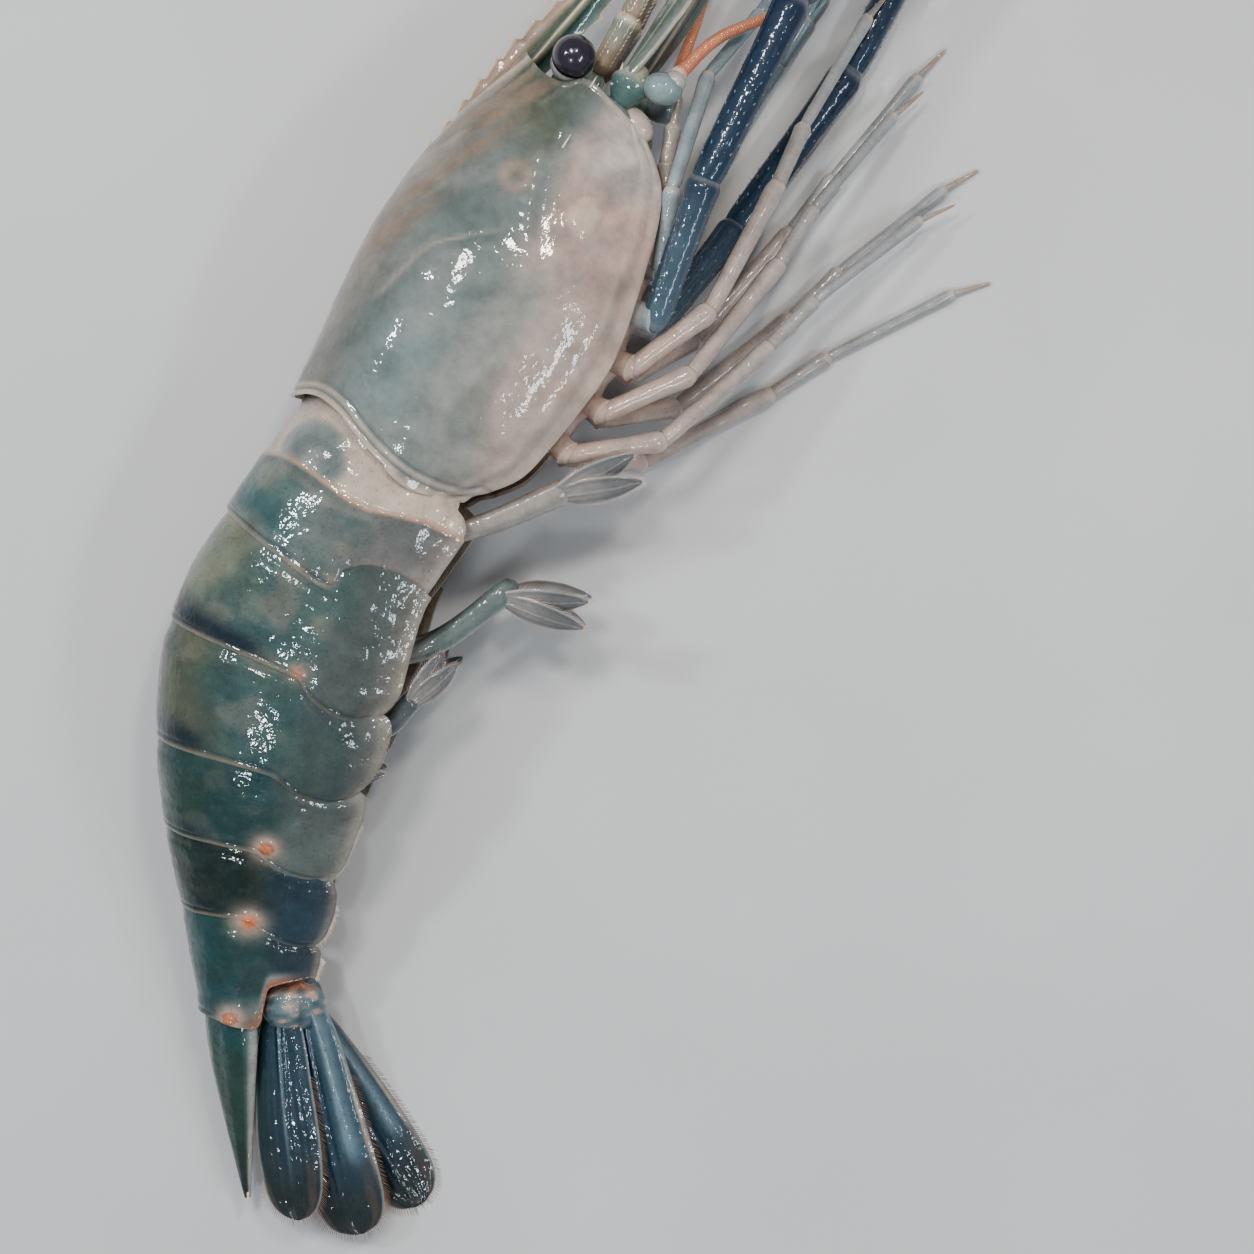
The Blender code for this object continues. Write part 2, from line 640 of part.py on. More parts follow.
def spread(points, radii, steps):
    """Points and radii on a smooth curve through the given ones."""
    count = len(points)
    keys = list(range(count))
    made, sizes = [], []
    for i in range(steps + 1):
        t = i * (count - 1) / steps
        made.append(Vector([smooth(keys, [p[k] for p in points], t) for k in range(3)]))
        sizes.append(smooth(keys, radii, t))
    return made, sizes


def make_antennules():
    for label, side in (("right", 1), ("left", -1)):
        front = HEAD_LEVELS[2][1] + GAP
        path = [body_point(front + a, d, w * side) for a, d, w in ANTENNULE_PATH]
        points, radii = spread(path, ANTENNULE_RADII, 6)
        pieces = [tube("stem", points, radii, "leg_shell", sides=8)]
        heading = math.radians(CARAPACE_HEADING)
        for length, turn, bend in ANTENNULE_FLAGELLA[label]:
            start = points[-1] - (points[-1] - points[-2]).normalized() * 1.0
            fall = (start.z - FLAGELLUM_RADIUS) if side < 0 else start.z * 0.62
            line = []
            for i in range(9):
                t = i / 8
                sweep = heading + math.radians(turn + bend * t)
                reach = length * t
                line.append(start + Vector((
                    math.cos(sweep) * reach, math.sin(sweep) * reach, -fall * min(1.0, 1.25 * t) ** 1.6,
                )))
            sizes = [FLAGELLUM_RADIUS + (TIP_RADIUS - FLAGELLUM_RADIUS) * i / 8 for i in range(9)]
            pieces.append(tube("whip", line, sizes, "feeler", sides=6))
        fuse(f"antennule_{label}", pieces)


def scale_frame(side):
    """Root, direction, width direction and normal of the antennal scale."""
    _, forward, up, out = body_frame(0)
    root = body_point(37.4 + GAP, BASICERITE[0] + 1.0, (BASICERITE[1] + 0.9) * side)
    along = (forward - up * 0.02 + out * side * 0.03).normalized()
    tilt = math.radians(SCALE_TILT)
    across = (out * side * math.cos(tilt) - up * math.sin(tilt)).normalized()
    normal = along.cross(across) * side
    return root, along, across, normal


def blade_loops(root, along, across, normal, length, profile, thick, bow=0.0, ridge=0.5):
    """A leaf: profile lists (share of the length, left edge, right edge); thick is (root, tip) thickness."""
    loops = []
    for share, low, high in profile:
        t = thick[0] + (thick[1] - thick[0]) * share
        centre = root + along * length * share + normal * bow * math.sin(math.pi * share)
        middle = (low + high) / 2
        top = [
            centre + across * low + normal * t * 0.35,
            centre + across * middle + normal * (t * 0.5 + ridge * (1 - share)),
            centre + across * high + normal * t * 0.35,
        ]
        bottom = [
            centre + across * high - normal * t * 0.35,
            centre + across * middle - normal * t * 0.5,
            centre + across * low - normal * t * 0.35,
        ]
        loops.append(top + bottom)
    return loops


def make_scales():
    half = SCALE_HALF_WIDTH
    profile = (
        (0.0, -1.7, 1.7), (0.1, -2.9, 2.9), (0.3, -half, 3.9), (0.55, -half, 4.1),
        (0.8, -half * 0.86, 4.1), (0.93, -half * 0.5, 3.9), (1.0, 1.5, 3.0),
    )
    for label, side in (("right", 1), ("left", -1)):
        root, along, across, normal = scale_frame(side)
        loops = blade_loops(root, along, across, normal, SCALE_LENGTH, profile, (1.3, 0.7), bow=1.2, ridge=0.3)
        loft(f"antennal_scale_{label}", loops, "carapace_shell")


def make_antennae():
    for label, side in (("right", 1), ("left", -1)):
        d, w = BASICERITE
        rear = HEAD_LEVELS[6][1] + GAP + 0.05
        trunk = tube("trunk", [body_point(a, d, w * side) for a in (rear, rear + 0.7, rear + 1.8, 37.4)],
                     [1.7, 2.6, 2.9, 2.4], "leg_shell", sides=8)
        ball = Vector(PEDUNCLE_BALL)
        knob = bmesh.new()
        bmesh.ops.create_uvsphere(knob, u_segments=10, v_segments=7, radius=BALL_RADIUS)
        knob.transform(Matrix.Translation(body_point(ball.x, ball.y, ball.z * side)))
        line = RIGHT_ANTENNA if side > 0 else LEFT_ANTENNA
        centre = body_point(ball.x, ball.y, ball.z * side)
        aim = (Vector(line[0]) - centre).normalized()
        neck = tube("neck", [centre, centre + aim * 2.6, centre + aim * 3.6], [1.6, 1.5, 1.15], "leg_shell", sides=8)
        fuse(f"antenna_base_{label}", [trunk, add_object("knob", knob, "leg_shell"), neck])
        make_flagellum(label, centre + aim * (3.6 + GAP), line)


def make_flagellum(label, start, line):
    """The long feeler in two lengths that meet end to end."""
    path = [start, *[Vector(p) for p in line]]
    count = len(path)
    radii = [ANTENNA_RADIUS + (TIP_RADIUS - ANTENNA_RADIUS) * (i / (count - 1)) ** 0.8 for i in range(count)]
    points, sizes = spread(path, radii, 28)
    points = [Vector((p.x, p.y, max(p.z, r * 0.93))) for p, r in zip(points, sizes)]
    split = 14
    for part, low, high in (("inner", 0, split), ("outer", split, 28)):
        run, width = points[low:high + 1], sizes[low:high + 1]
        if part == "outer":
            run[0] = run[0] + (run[1] - run[0]).normalized() * GAP
        tube(f"antenna_{label}_{part}", run, width, "feeler", sides=6)


def thorax_levels(a):
    """Half width at the top, heights of roof, shoulder and keel, of the thorax floor at a."""
    tuck = math.radians(MARGIN_TUCK)
    depth = margin_depth(a)
    half = smooth(CARAPACE_A, CARAPACE_WIDTH, a) * math.cos(tuck) - CARAPACE_WALL - 0.45
    steps = 12 - 10
    roof_turn = tuck * (1 - steps / 6)
    roof = -depth * math.sin(roof_turn) / math.sin(tuck)
    keel = depth + 1.2 - 2.4 * smooth((-21.0, -11.0), (1.0, 0.0), a)
    return half, roof - GAP - 0.25, -(depth - 1.5), -max(keel, depth - 1.2)


def thorax_facet(a, share):
    """A point on the right lower face of the thorax floor, from keel (0) to shoulder (1)."""
    half, _, shoulder, keel = thorax_levels(a)
    return body_point(a, keel + (shoulder - keel) * share, THORAX_KEEL + (half - THORAX_KEEL) * share)


def make_thorax():
    loops = []
    for a in THORAX_A:
        half, roof, shoulder, keel = thorax_levels(a)
        right = [(roof, half), (shoulder, half), (keel, THORAX_KEEL)]
        left = [(d, -w) for d, w in right[::-1]]
        loops.append([body_point(a, d, w) for d, w in right + left])
    loft("thorax", loops, "leg_shell")


def leg_root(a, w, side):
    """Point and outward direction on the thorax floor where a leg starts."""
    half, _, _, _ = thorax_levels(a)
    share = (w - THORAX_KEEL) / (half - THORAX_KEEL)
    here = thorax_facet(a, share)
    ahead = thorax_facet(a + 1.5, share) - thorax_facet(a - 1.5, share)
    across = thorax_facet(a, min(share + 0.2, 1)) - thorax_facet(a, share - 0.2)
    normal = across.cross(ahead).normalized()
    if normal.dot(body_frame(a)[2]) > 0:
        normal = -normal
    start = here + normal * (GAP + 0.1)
    if side < 0:
        middle = body_point(a, 0, 0).z
        start = Vector((start.x, start.y, 2 * middle - start.z))
        normal = Vector((normal.x, normal.y, -normal.z))
    return start, normal


def limb_line(start, normal, coxa, lengths, headings, heights, radii):
    """Points and radii along a leg: coxa along the root's normal, then one segment for each length."""
    joints = [start, start + normal * coxa]
    for length, heading, height in zip(lengths, headings, heights):
        here = joints[-1]
        fall = height - here.z
        level = math.sqrt(max(length * length - fall * fall, 0.01))
        turn = math.radians(heading)
        joints.append(Vector((here.x + math.cos(turn) * level, here.y + math.sin(turn) * level, height)))
    points, sizes = [start], [radii[0] * 0.92]
    for i, (near, far) in enumerate(zip(joints, joints[1:])):
        radius = radii[i]
        last = i == len(joints) - 2
        if i == 0:
            points.append(start + normal * coxa * 0.6)
            sizes.append(radius)
            continue
        for share, swell in zip(LEG_SHARES, LEG_SWELL):
            points.append(near.lerp(far, share))
            taper = 1 - 0.62 * share if last else 1.0
            sizes.append(radius * swell * taper)
    return points, sizes, joints


def make_legs():
    for name, leg in LEGS.items():
        for label, side in (("right", 1), ("left", -1)):
            start, normal = leg_root(*leg["root"], side)
            headings, heights = leg[label]
            points, sizes, _ = limb_line(
                start, normal, leg.get("coxa", COXA_LENGTH), leg["lengths"], headings, heights, leg["radii"],
            )
            tube(f"{name}_{label}", points, sizes, "leg_shell", sides=6)


def make_maxillipeds():
    for label, side in (("right", 1), ("left", -1)):
        start, normal = leg_root(*MAXILLIPED_ROOT, side)
        path = [start, start + normal * 1.0] + [body_point(a, d, w * side) for a, d, w in MAXILLIPED_PATH]
        tube(f"maxilliped_{label}", path, [1.1, *MAXILLIPED_RADII], "leg_shell", sides=6)


def segment_tube(name, near, far, radii, slot, sides=8):
    """One rigid piece of the claw arm between two joints, swelling as radii say along its length."""
    shares = [i / (len(radii) - 1) for i in range(len(radii))]
    return tube(name, [near.lerp(far, s) for s in shares], radii, slot, sides=sides)


def make_claws():
    for label, side in (("right", 1), ("left", -1)):
        start, normal = leg_root(*CLAW_ROOT, side)
        points, sizes, joints = limb_line(
            start, normal, CLAW_COXA, CLAW_LENGTHS, CLAW_HEADINGS[label], CLAW_HEIGHTS[label], CLAW_RADII,
        )
        arm_points = 2 + 2 * len(LEG_SHARES)
        arm = points[:arm_points]
        arm[-1] = joints[3] + (joints[2] - joints[3]).normalized() * 0.9
        tube(f"claw_arm_{label}", arm, sizes[:arm_points], "claw_shell", sides=8)
        wrist_line = (joints[4] - joints[3]).normalized()
        hand_line = (joints[5] - joints[4]).normalized()
        r = CLAW_RADII
        segment_tube(f"claw_wrist_{label}", joints[3] + wrist_line * 1.2, joints[4] - wrist_line * 1.0,
                     [r[3] * 0.78, r[3] * 0.86, r[3] * 0.95, r[3], r[3] * 1.12, r[3] * 1.05], "claw_shell")
        make_hand(label, joints[4] + hand_line * 1.0, joints[5], joints[6])


def make_hand(label, wrist, knuckle, tip):
    """Palm with its fixed finger, and the movable finger as a piece of its own."""
    r = CLAW_RADII[4]
    along = (knuckle - wrist).normalized()
    level = Vector((-along.y, along.x, 0)).normalized()
    palm = segment_tube("palm", wrist, knuckle, [r * 0.75, r * 0.95, r, r, r * 1.02, r * 0.95], "claw_shell")
    reach = (tip - knuckle).normalized()
    length = (tip - knuckle).length
    fixed, moving = [], []
    for i in range(6):
        t = i / 5
        bow = math.sin(math.pi * t) * 1.5
        fixed.append(knuckle - reach * 1.5 * (1 - t) + reach * length * t - level * (1.35 * (1 - t) + 0.25 + bow * 0.6))
        moving.append(knuckle + reach * (1.0 + (length - 1.6) * t) + level * (1.25 + 0.5 * t + bow * 1.3))
    sizes = [1.5, 1.3, 1.15, 1.0, 0.75, 0.35]
    fuse(f"claw_hand_{label}", [palm, tube("fixed", [lift(p, s) for p, s in zip(fixed, sizes)], sizes, "claw_shell")])
    sizes = [1.15, 1.2, 1.05, 0.9, 0.7, 0.3]
    tube(f"claw_finger_{label}", [lift(p, s) for p, s in zip(moving, sizes)], sizes, "claw_shell")


def lift(point, radius):
    """Keeps a round piece on or above the floor, pressed 5% flat where it rests."""
    return Vector((point.x, point.y, max(point.z, radius * 0.95)))


def make_pleopods():
    for n in range(5):
        middle = (JOINTS[n] + JOINTS[n + 1]) / 2 + (1.0 if n else -1.0)
        roof, _ = abdomen_section(middle, ROOF_COLUMN / (COLUMNS - 1), 0.0)
        _, forward, up, out = body_frame(middle)
        for label, side in (("right", 1), ("left", -1)):
            root = body_point(middle, roof - GAP - 0.15, PLEOPOD_W[n] * side)
            swing = math.radians(PLEOPOD_SWING[n])
            stem_line = (-up * math.cos(swing) + forward * math.sin(swing)).normalized()
            thick = (forward * math.cos(swing) + up * math.sin(swing)).normalized()
            size = PLEOPOD_STEM[n] / 14.0
            loops = []
            for share, half, deep in ((0.0, 1.7, 1.2), (0.3, 2.0, 1.5), (0.75, 1.9, 1.4), (1.0, 1.4, 1.0)):
                centre = root + stem_line * PLEOPOD_STEM[n] * share
                along = stem_line if share else None
                ring = []
                for k in range(8):
                    turn = 2 * math.pi * k / 8
                    offset = out * math.cos(turn) * half * size + thick * math.sin(turn) * deep * size
                    if along is None:  # the root's face lies along the roof of the hollow
                        offset = out * math.cos(turn) * half * size + forward * math.sin(turn) * deep * size
                    ring.append(centre + offset)
                loops.append(ring)
            pieces = [loft("stem", loops, "swimmeret")]
            pieces += pleopod_blades(n, root + stem_line * PLEOPOD_STEM[n] * 0.88, forward, up, out, side)
            fuse(f"pleopod_{n + 1}_{label}", pieces)


def pleopod_blades(n, root, forward, up, out, side):
    """The two leaf blades on a pleopod's stem."""
    made = []
    length = PLEOPOD_BLADE[n]
    size = PLEOPOD_STEM[n] / 14.0
    profile = ((0.0, -0.7, 0.7), (0.12, -1.2, 1.2), (0.4, -2.2, 2.2), (0.7, -2.0, 1.9), (0.92, -0.9, 0.9), (1.0, -0.25, 0.25))
    scaled = [(s, low * size, high * size) for s, low, high in profile]
    for turn, drift in ((PLEOPOD_BLADE_SWING[n], 0.10), (PLEOPOD_BLADE_SWING[n] - 18.0, -0.06)):
        swing = math.radians(turn)
        along = (-up * math.cos(swing) + forward * math.sin(swing) + out * side * drift).normalized()
        across = (forward * math.cos(swing) + up * math.sin(swing) + out * side * 0.8).normalized()
        across = (across - along * across.dot(along)).normalized()
        normal = along.cross(across).normalized()
        made.append(loft("blade", blade_loops(root, along, across, normal, length, scaled, (1.1, 0.55), ridge=0.2),
                         "swimmeret"))
    return made


def tail_point(back, d, w, roll=0.0):
    """A point behind the last joint, in the last joint's own straight frame."""
    centre, forward, up, out = body_frame(JOINTS[6])
    turn = math.radians(roll)
    up, out = up * math.cos(turn) + out * math.sin(turn), out * math.cos(turn) - up * math.sin(turn)
    return centre - forward * back + up * d + out * w


def make_telson():
    loops = []
    for share, half, high in ((0.0, 1.0, 1.0), (0.12, 1.0, 1.0), (0.35, 0.86, 0.84), (0.62, 0.62, 0.62),
                              (0.86, 0.36, 0.42), (1.0, 0.10, 0.2)):
        back = 3.4 + GAP + TELSON_LENGTH * share
        middle = 3.5 - 3.6 * share
        ring = []
        for k in range(10):
            turn = 2 * math.pi * k / 10
            deep = TELSON_HEIGHT * (0.5 if math.sin(turn) > 0 else 0.32) * high
            w = math.cos(turn) * TELSON_HALF_WIDTH * half
            ring.append(tail_point(back, middle + math.sin(turn) * deep, w, TELSON_ROLL))
        loops.append(ring)
    loft("telson", loops, "tail_shell")


# Uropods: root and tip in the tail's frame, width lean in degrees from the back towards the side
UROPODS = {
    "right": {
        "base": ((-1.4, -4.6, 3.6), (4.6, -5.2, 4.0)),
        "endopod": ((4.4, -3.6, 3.9), (32.5, -6.2, 4.8), 34.0),
        "exopod": ((4.4, -7.4, 4.2), (37.0, -15.2, 3.6), 30.0),
    },
    "left": {
        "base": ((-1.4, -4.6, -3.4), (4.6, -5.2, -3.2)),
        "endopod": ((4.4, -2.9, -3.0), (32.5, -6.8, -2.2), -10.0),
        "exopod": ((4.4, -7.4, -3.0), (36.0, -20.0, -0.2), -10.0),
    },
}
ENDOPOD_PROFILE = (
    (0.0, -1.3, 1.3), (0.1, -2.4, 2.4), (0.32, -3.9, 3.7), (0.6, -4.2, 4.0), (0.84, -3.4, 3.3), (0.96, -1.9, 1.9), (1.0, -0.7, 0.7),
)
EXOPOD_PROFILE = (
    (0.0, -1.3, 1.3), (0.1, -2.5, 2.4), (0.32, -4.3, 4.0), (0.6, -5.1, 4.4), (0.82, -5.0, 4.3), (0.95, -3.6, 2.9), (1.0, -1.8, 1.2),
)


def make_uropods():
    _, forward, up, out = body_frame(JOINTS[6])
    for label, side in (("right", 1), ("left", -1)):
        plan = UROPODS[label]
        near, far = (tail_point(*p) for p in plan["base"])
        tube(f"uropod_base_{label}", [near, near.lerp(far, 0.3), near.lerp(far, 0.75), far],
             [1.9, 2.5, 2.4, 2.0], "tail_shell", sides=8)
        for kind, profile in (("endopod", ENDOPOD_PROFILE), ("exopod", EXOPOD_PROFILE)):
            root_place, tip_place, lean = plan[kind]
            root, tip = tail_point(root_place[0] + GAP + 0.2, *root_place[1:]), tail_point(*tip_place)
            along = (tip - root).normalized()
            turn = math.radians(lean)
            across = -up * math.cos(turn) + out * math.sin(turn)
            across = (across - along * across.dot(along)).normalized()
            normal = along.cross(across).normalized()
            if normal.dot(out) < 0:
                normal = -normal
            length = (tip - root).length
            loops = blade_loops(root, along, across, normal, length, profile, (1.5, 0.6), bow=0.8, ridge=0.5)
            loft(f"uropod_{kind}_{label}", loops, "tail_shell")


def main():
    make_carapace()
    make_head()
    make_somites()
    make_eyes()
    make_antennules()
    make_scales()
    make_antennae()
    make_thorax()
    make_legs()
    make_maxillipeds()
    make_claws()
    make_pleopods()
    make_telson()
    make_uropods()


main()
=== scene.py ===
"""Looks of the giant river prawn: wet, mottled shell over pale flesh, on a pale floor.

Body coordinates, in millimetres, are (a, d, w): a runs forward along the body,
d runs from belly to back, and w runs from the middle to the animal's right.
"""

import math

import bpy
from mathutils import Matrix, Vector, noise


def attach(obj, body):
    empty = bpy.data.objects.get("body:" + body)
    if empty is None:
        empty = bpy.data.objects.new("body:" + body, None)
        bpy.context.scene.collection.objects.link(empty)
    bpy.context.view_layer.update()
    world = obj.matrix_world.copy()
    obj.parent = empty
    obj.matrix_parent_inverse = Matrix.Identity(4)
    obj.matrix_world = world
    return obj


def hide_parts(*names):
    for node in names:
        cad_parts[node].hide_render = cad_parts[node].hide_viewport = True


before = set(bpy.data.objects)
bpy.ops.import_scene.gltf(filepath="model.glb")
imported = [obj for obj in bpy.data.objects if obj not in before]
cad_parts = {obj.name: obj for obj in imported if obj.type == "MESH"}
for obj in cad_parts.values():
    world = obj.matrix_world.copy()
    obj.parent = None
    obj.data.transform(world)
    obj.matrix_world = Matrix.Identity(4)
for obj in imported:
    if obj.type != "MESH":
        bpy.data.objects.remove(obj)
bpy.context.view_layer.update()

MM = 0.001
SIDES = (("right", 1), ("left", -1))

# The line of the body, seen from above
CARAPACE_HEADING = 60.0   # degrees from +X
CARAPACE_REAR = -28.9     # a of the joint between carapace and abdomen
SOMITE_LENGTHS = (16.9, 14.7, 14.5, 11.7, 10.9, 12.4)
SOMITE_HEADINGS = (64.0, 67.0, 73.0, 80.0, 84.0, 89.0)
TAIL_HEADING = 95.0
TAIL_LENGTH = 44.0
SPINE_STEP = 0.25
CARAPACE_HEIGHT = 16.1
JOINT_HEIGHTS = (16.1, 15.0, 13.3, 12.2, 10.3, 8.6, 7.2)
TAIL_HEIGHT = 4.2
TAIL_ROLL = 10.0          # degrees that the back turns up towards the tail

# Carapace: a stations with back height, half width and depth of the lower margin
CARAPACE_FRONT = 33.0
CARAPACE_FLANK = 22.0     # from the back's middle around to the margin, for distances from the margin
CARAPACE_WALL = 0.55
CARAPACE_A = (-28.9, -20.0, -10.0, 0.0, 10.0, 20.0, 27.0, 33.0)
CARAPACE_TOP = (15.2, 16.0, 17.0, 17.6, 16.8, 14.9, 12.8, 11.0)
CARAPACE_WIDTH = (13.6, 15.4, 16.4, 16.4, 15.2, 12.6, 10.2, 8.6)
MARGIN_A = (-29.0, -27.0, -21.0, -15.0, -5.8, 1.0, 10.0, 17.3, 22.9, 26.0, 30.0, 33.0)
MARGIN_DEPTH = (12.5, 14.0, 18.8, 20.4, 21.8, 22.0, 20.2, 18.4, 16.4, 14.4, 9.6, 7.0)
MARGIN_TUCK = 56.0
REAR_EDGE_D = (-15.0, -12.0, -6.1, -0.9, 3.3, 7.6, 11.5, 15.6)
REAR_EDGE_A = (-26.6, -28.4, -29.4, -28.6, -27.2, -25.5, -25.2, -27.0)
FRONT_EDGE_D = (-9.6, -4.0, 0.9, 3.0, 6.3, 9.0, 11.2)
FRONT_EDGE_A = (30.0, 31.5, 32.6, 30.7, 30.4, 31.5, 33.0)

# Rostrum: a stations with its ridge, upper edge, lower edge and half width
ROSTRUM_A = (12.0, 24.0, 32.0, 38.0, 44.0, 56.0, 68.0, 80.0, 88.0)
ROSTRUM_RIDGE = (15.4, 12.6, 9.6, 8.6, 7.6, 5.6, 6.4, 9.8, 14.3)
ROSTRUM_TOP = (16.6, 15.0, 13.6, 11.9, 10.0, 7.7, 8.0, 10.9, 14.6)
ROSTRUM_LOW = (14.4, 10.8, 7.4, 6.0, 4.8, 3.2, 4.3, 8.7, 14.0)
ROSTRUM_HALF = (0.5, 1.4, 3.2, 2.3, 1.6, 1.2, 1.0, 0.7, 0.3)
BACK_TEETH = (15.0, 18.8, 22.6, 26.4, 30.2, 34.0, 37.8, 41.8, 46.5, 52.5, 60.0, 70.0, 79.0)
BELLY_TEETH = (43.0, 47.5, 52.0, 56.5, 61.0, 65.5, 70.0, 74.5, 79.0, 83.0)
BACK_TOOTH = 1.0
BELLY_TOOTH = 0.8
TOOTH_LENGTH = 3.4
TOOTH_BACK = 0.45         # length of the steep side of a tooth

# Spines at the carapace's front edge: a, share around the flank, reach and radius
FRONT_SPINES = ((31.2, 0.50, 2.6, 0.42), (22.0, 0.53, 2.4, 0.38))
SPINE_KEEL = (0.36, 0.34, 0.3, 0.24, 0.12)

# Abdomen: half width, back height and depth of the side plates at the seven joints
PLATE_FLANK = 18.0
PLATE_WALL = 0.28
ABDOMEN_WIDTH = (13.0, 13.6, 13.6, 12.6, 10.6, 8.6, 6.6)
ABDOMEN_TOP = (14.4, 17.0, 18.4, 15.5, 12.3, 9.0, 6.6)
PLATE_DEPTH = (16.8, 15.8, 17.4, 16.9, 14.4, 12.6, 9.4)
PLATE_TUCK = 0.30
PLATE_ROUND = ((0.16, 0.02), (0.02, 0.13), (0.05, 0.15), (0.07, 0.16), (0.08, 0.14), (0.10, 0.0))
# Each joint line as (d, how far it lies before the joint); the carapace's rear edge gives the first
JOINT_LINES = (
    None,
    ((-16.0, 0.6), (-11.0, 1.4), (-6.0, 1.0), (-2.6, -0.9), (5.0, 0.2), (17.0, 2.2)),
    ((-17.6, -0.4), (-15.0, -2.8), (-11.0, -4.2), (-6.0, -2.8), (-2.8, 0.0), (18.0, 0.6)),
    ((-17.0, 1.2), (-13.0, -2.4), (-7.0, -2.2), (-2.0, 0.0), (15.0, 0.2)),
    ((-14.0, -4.4), (-9.0, -3.9), (-4.0, -2.2), (-1.2, 0.0), (12.0, 0.6)),
    ((-12.4, -5.0), (-8.0, -4.6), (-3.2, -2.4), (-0.6, 0.0), (9.0, 0.4)),
    (
        (-9.4, 2.3), (-6.5, 1.9), (-4.2, 1.5), (-3.0, 0.5), (-1.9, -4.0), (-1.0, -4.8),
        (1.0, -4.6), (3.8, -3.5), (7.0, -2.4),
    ),
)
# How far the first segment's front edge slants back at its lower corner
FIRST_SLANT_D = (-18.0, -15.0, -11.0)
FIRST_SLANT = (3.8, 2.4, 0.0)
RIDGE_STATION = 0.4
RIDGE_TOP = 0.52
RIDGE_EDGE = 0.2
# Height of a segment's surface above its plain form, as a share, along its length
SOMITE_PLACES = (-0.14, -0.04, 0.05, 0.16, 0.4, 0.7, 0.95, 0.99, 1.012, 1.02)
SOMITE_FLARES = (-0.075, -0.045, -0.022, -0.004, 0.006, 0.006, 0.003, 0.003, 0.000, -0.010)
FIRST_PLACES = (-0.2, 0.0, 0.2, 0.37, 0.4, 0.44, 0.7, 0.95, 0.99, 1.012, 1.02)
FIRST_FLARES = (-0.09, -0.034, -0.022, -0.022, 0.004, 0.002, 0.002, 0.002, 0.003, 0.000, -0.010)

# The block between the eyes, from its top down: d, a of its front and half width
HEAD_LEVELS = (
    (6.2, 34.4, 2.8), (5.6, 35.2, 3.1), (2.2, 35.4, 3.2), (2.0, 35.4, 4.4), (0.9, 35.3, 4.5),
    (-0.9, 35.2, 4.6), (-1.1, 33.4, 7.8), (-5.5, 32.8, 8.0), (-9.2, 31.6, 6.2),
)
ANTENNULE_FRONT = HEAD_LEVELS[2][1]
ANTENNA_FRONT = HEAD_LEVELS[6][1]
STALK_BASE = (33.6, 4.1)
STALK_LENGTH = 3.6
STALK_RADII = (1.3, 1.35, 1.4, 2.4, 3.1)
CORNEA_RADIUS = 3.15

ANTENNULE_PATH = ((0.0, 0.6, 2.6), (7.0, 0.5, 3.0), (14.0, 0.6, 3.6), (22.0, 0.9, 4.2))
ANTENNULE_RADII = (1.7, 1.9, 1.5, 1.2)
ANTENNULE_BREAKS = (0.0, 0.42, 0.68, 1.0)
# The three whips of each antennule: length, turn from the body's line and bend towards the tip
ANTENNULE_FLAGELLA = {
    "right": ((74.0, 3.0, 14.0), (66.0, -1.0, -6.0), (52.0, -5.0, -24.0)),
    "left": ((74.0, 12.0, 16.0), (66.0, 3.0, 2.0), (52.0, -6.0, -14.0)),
}
FLAGELLUM_RADIUS = 0.62
TIP_RADIUS = 0.27
SCALE_LENGTH = 33.0
SCALE_TILT = 24.0
BASICERITE = (-4.6, 6.4)
PEDUNCLE_BALL = (37.2, -9.0, 7.8)
BALL_RADIUS = 2.7
TRUNK_RADII = (1.6, 2.5, 2.95, 2.7, 1.6)
NECK_PLACES = (1.2, 2.2, 2.8, 3.4, 4.1)
NECK_RADII = (1.45, 1.55, 1.3, 1.3, 1.1)
ANTENNA_RADIUS = 0.95
RIGHT_ANTENNA = (
    (34.5, 35.6, 20.5), (43.0, 39.8, 17.6), (58.0, 47.5, 13.2), (75.0, 57.5, 8.2), (91.0, 72.0, 3.6),
    (104.0, 92.0, 1.0), (113.0, 118.0, 0.7), (119.0, 146.0, 0.6), (121.0, 176.0, 0.55), (119.0, 206.0, 0.5),
)
LEFT_ANTENNA = (
    (30.0, 36.5, 4.6), (33.5, 48.0, 2.0), (36.0, 66.0, 0.9), (36.5, 90.0, 0.8), (33.0, 116.0, 0.7),
    (25.5, 143.0, 0.65), (14.5, 170.0, 0.6), (0.5, 195.0, 0.55), (-15.5, 217.0, 0.5),
)

THORAX_REAR = -21.0
THORAX_FRONT = 25.0
THORAX_KEEL = 1.0
COXA_LENGTH = 3.0
CLAW_COXA = 4.0
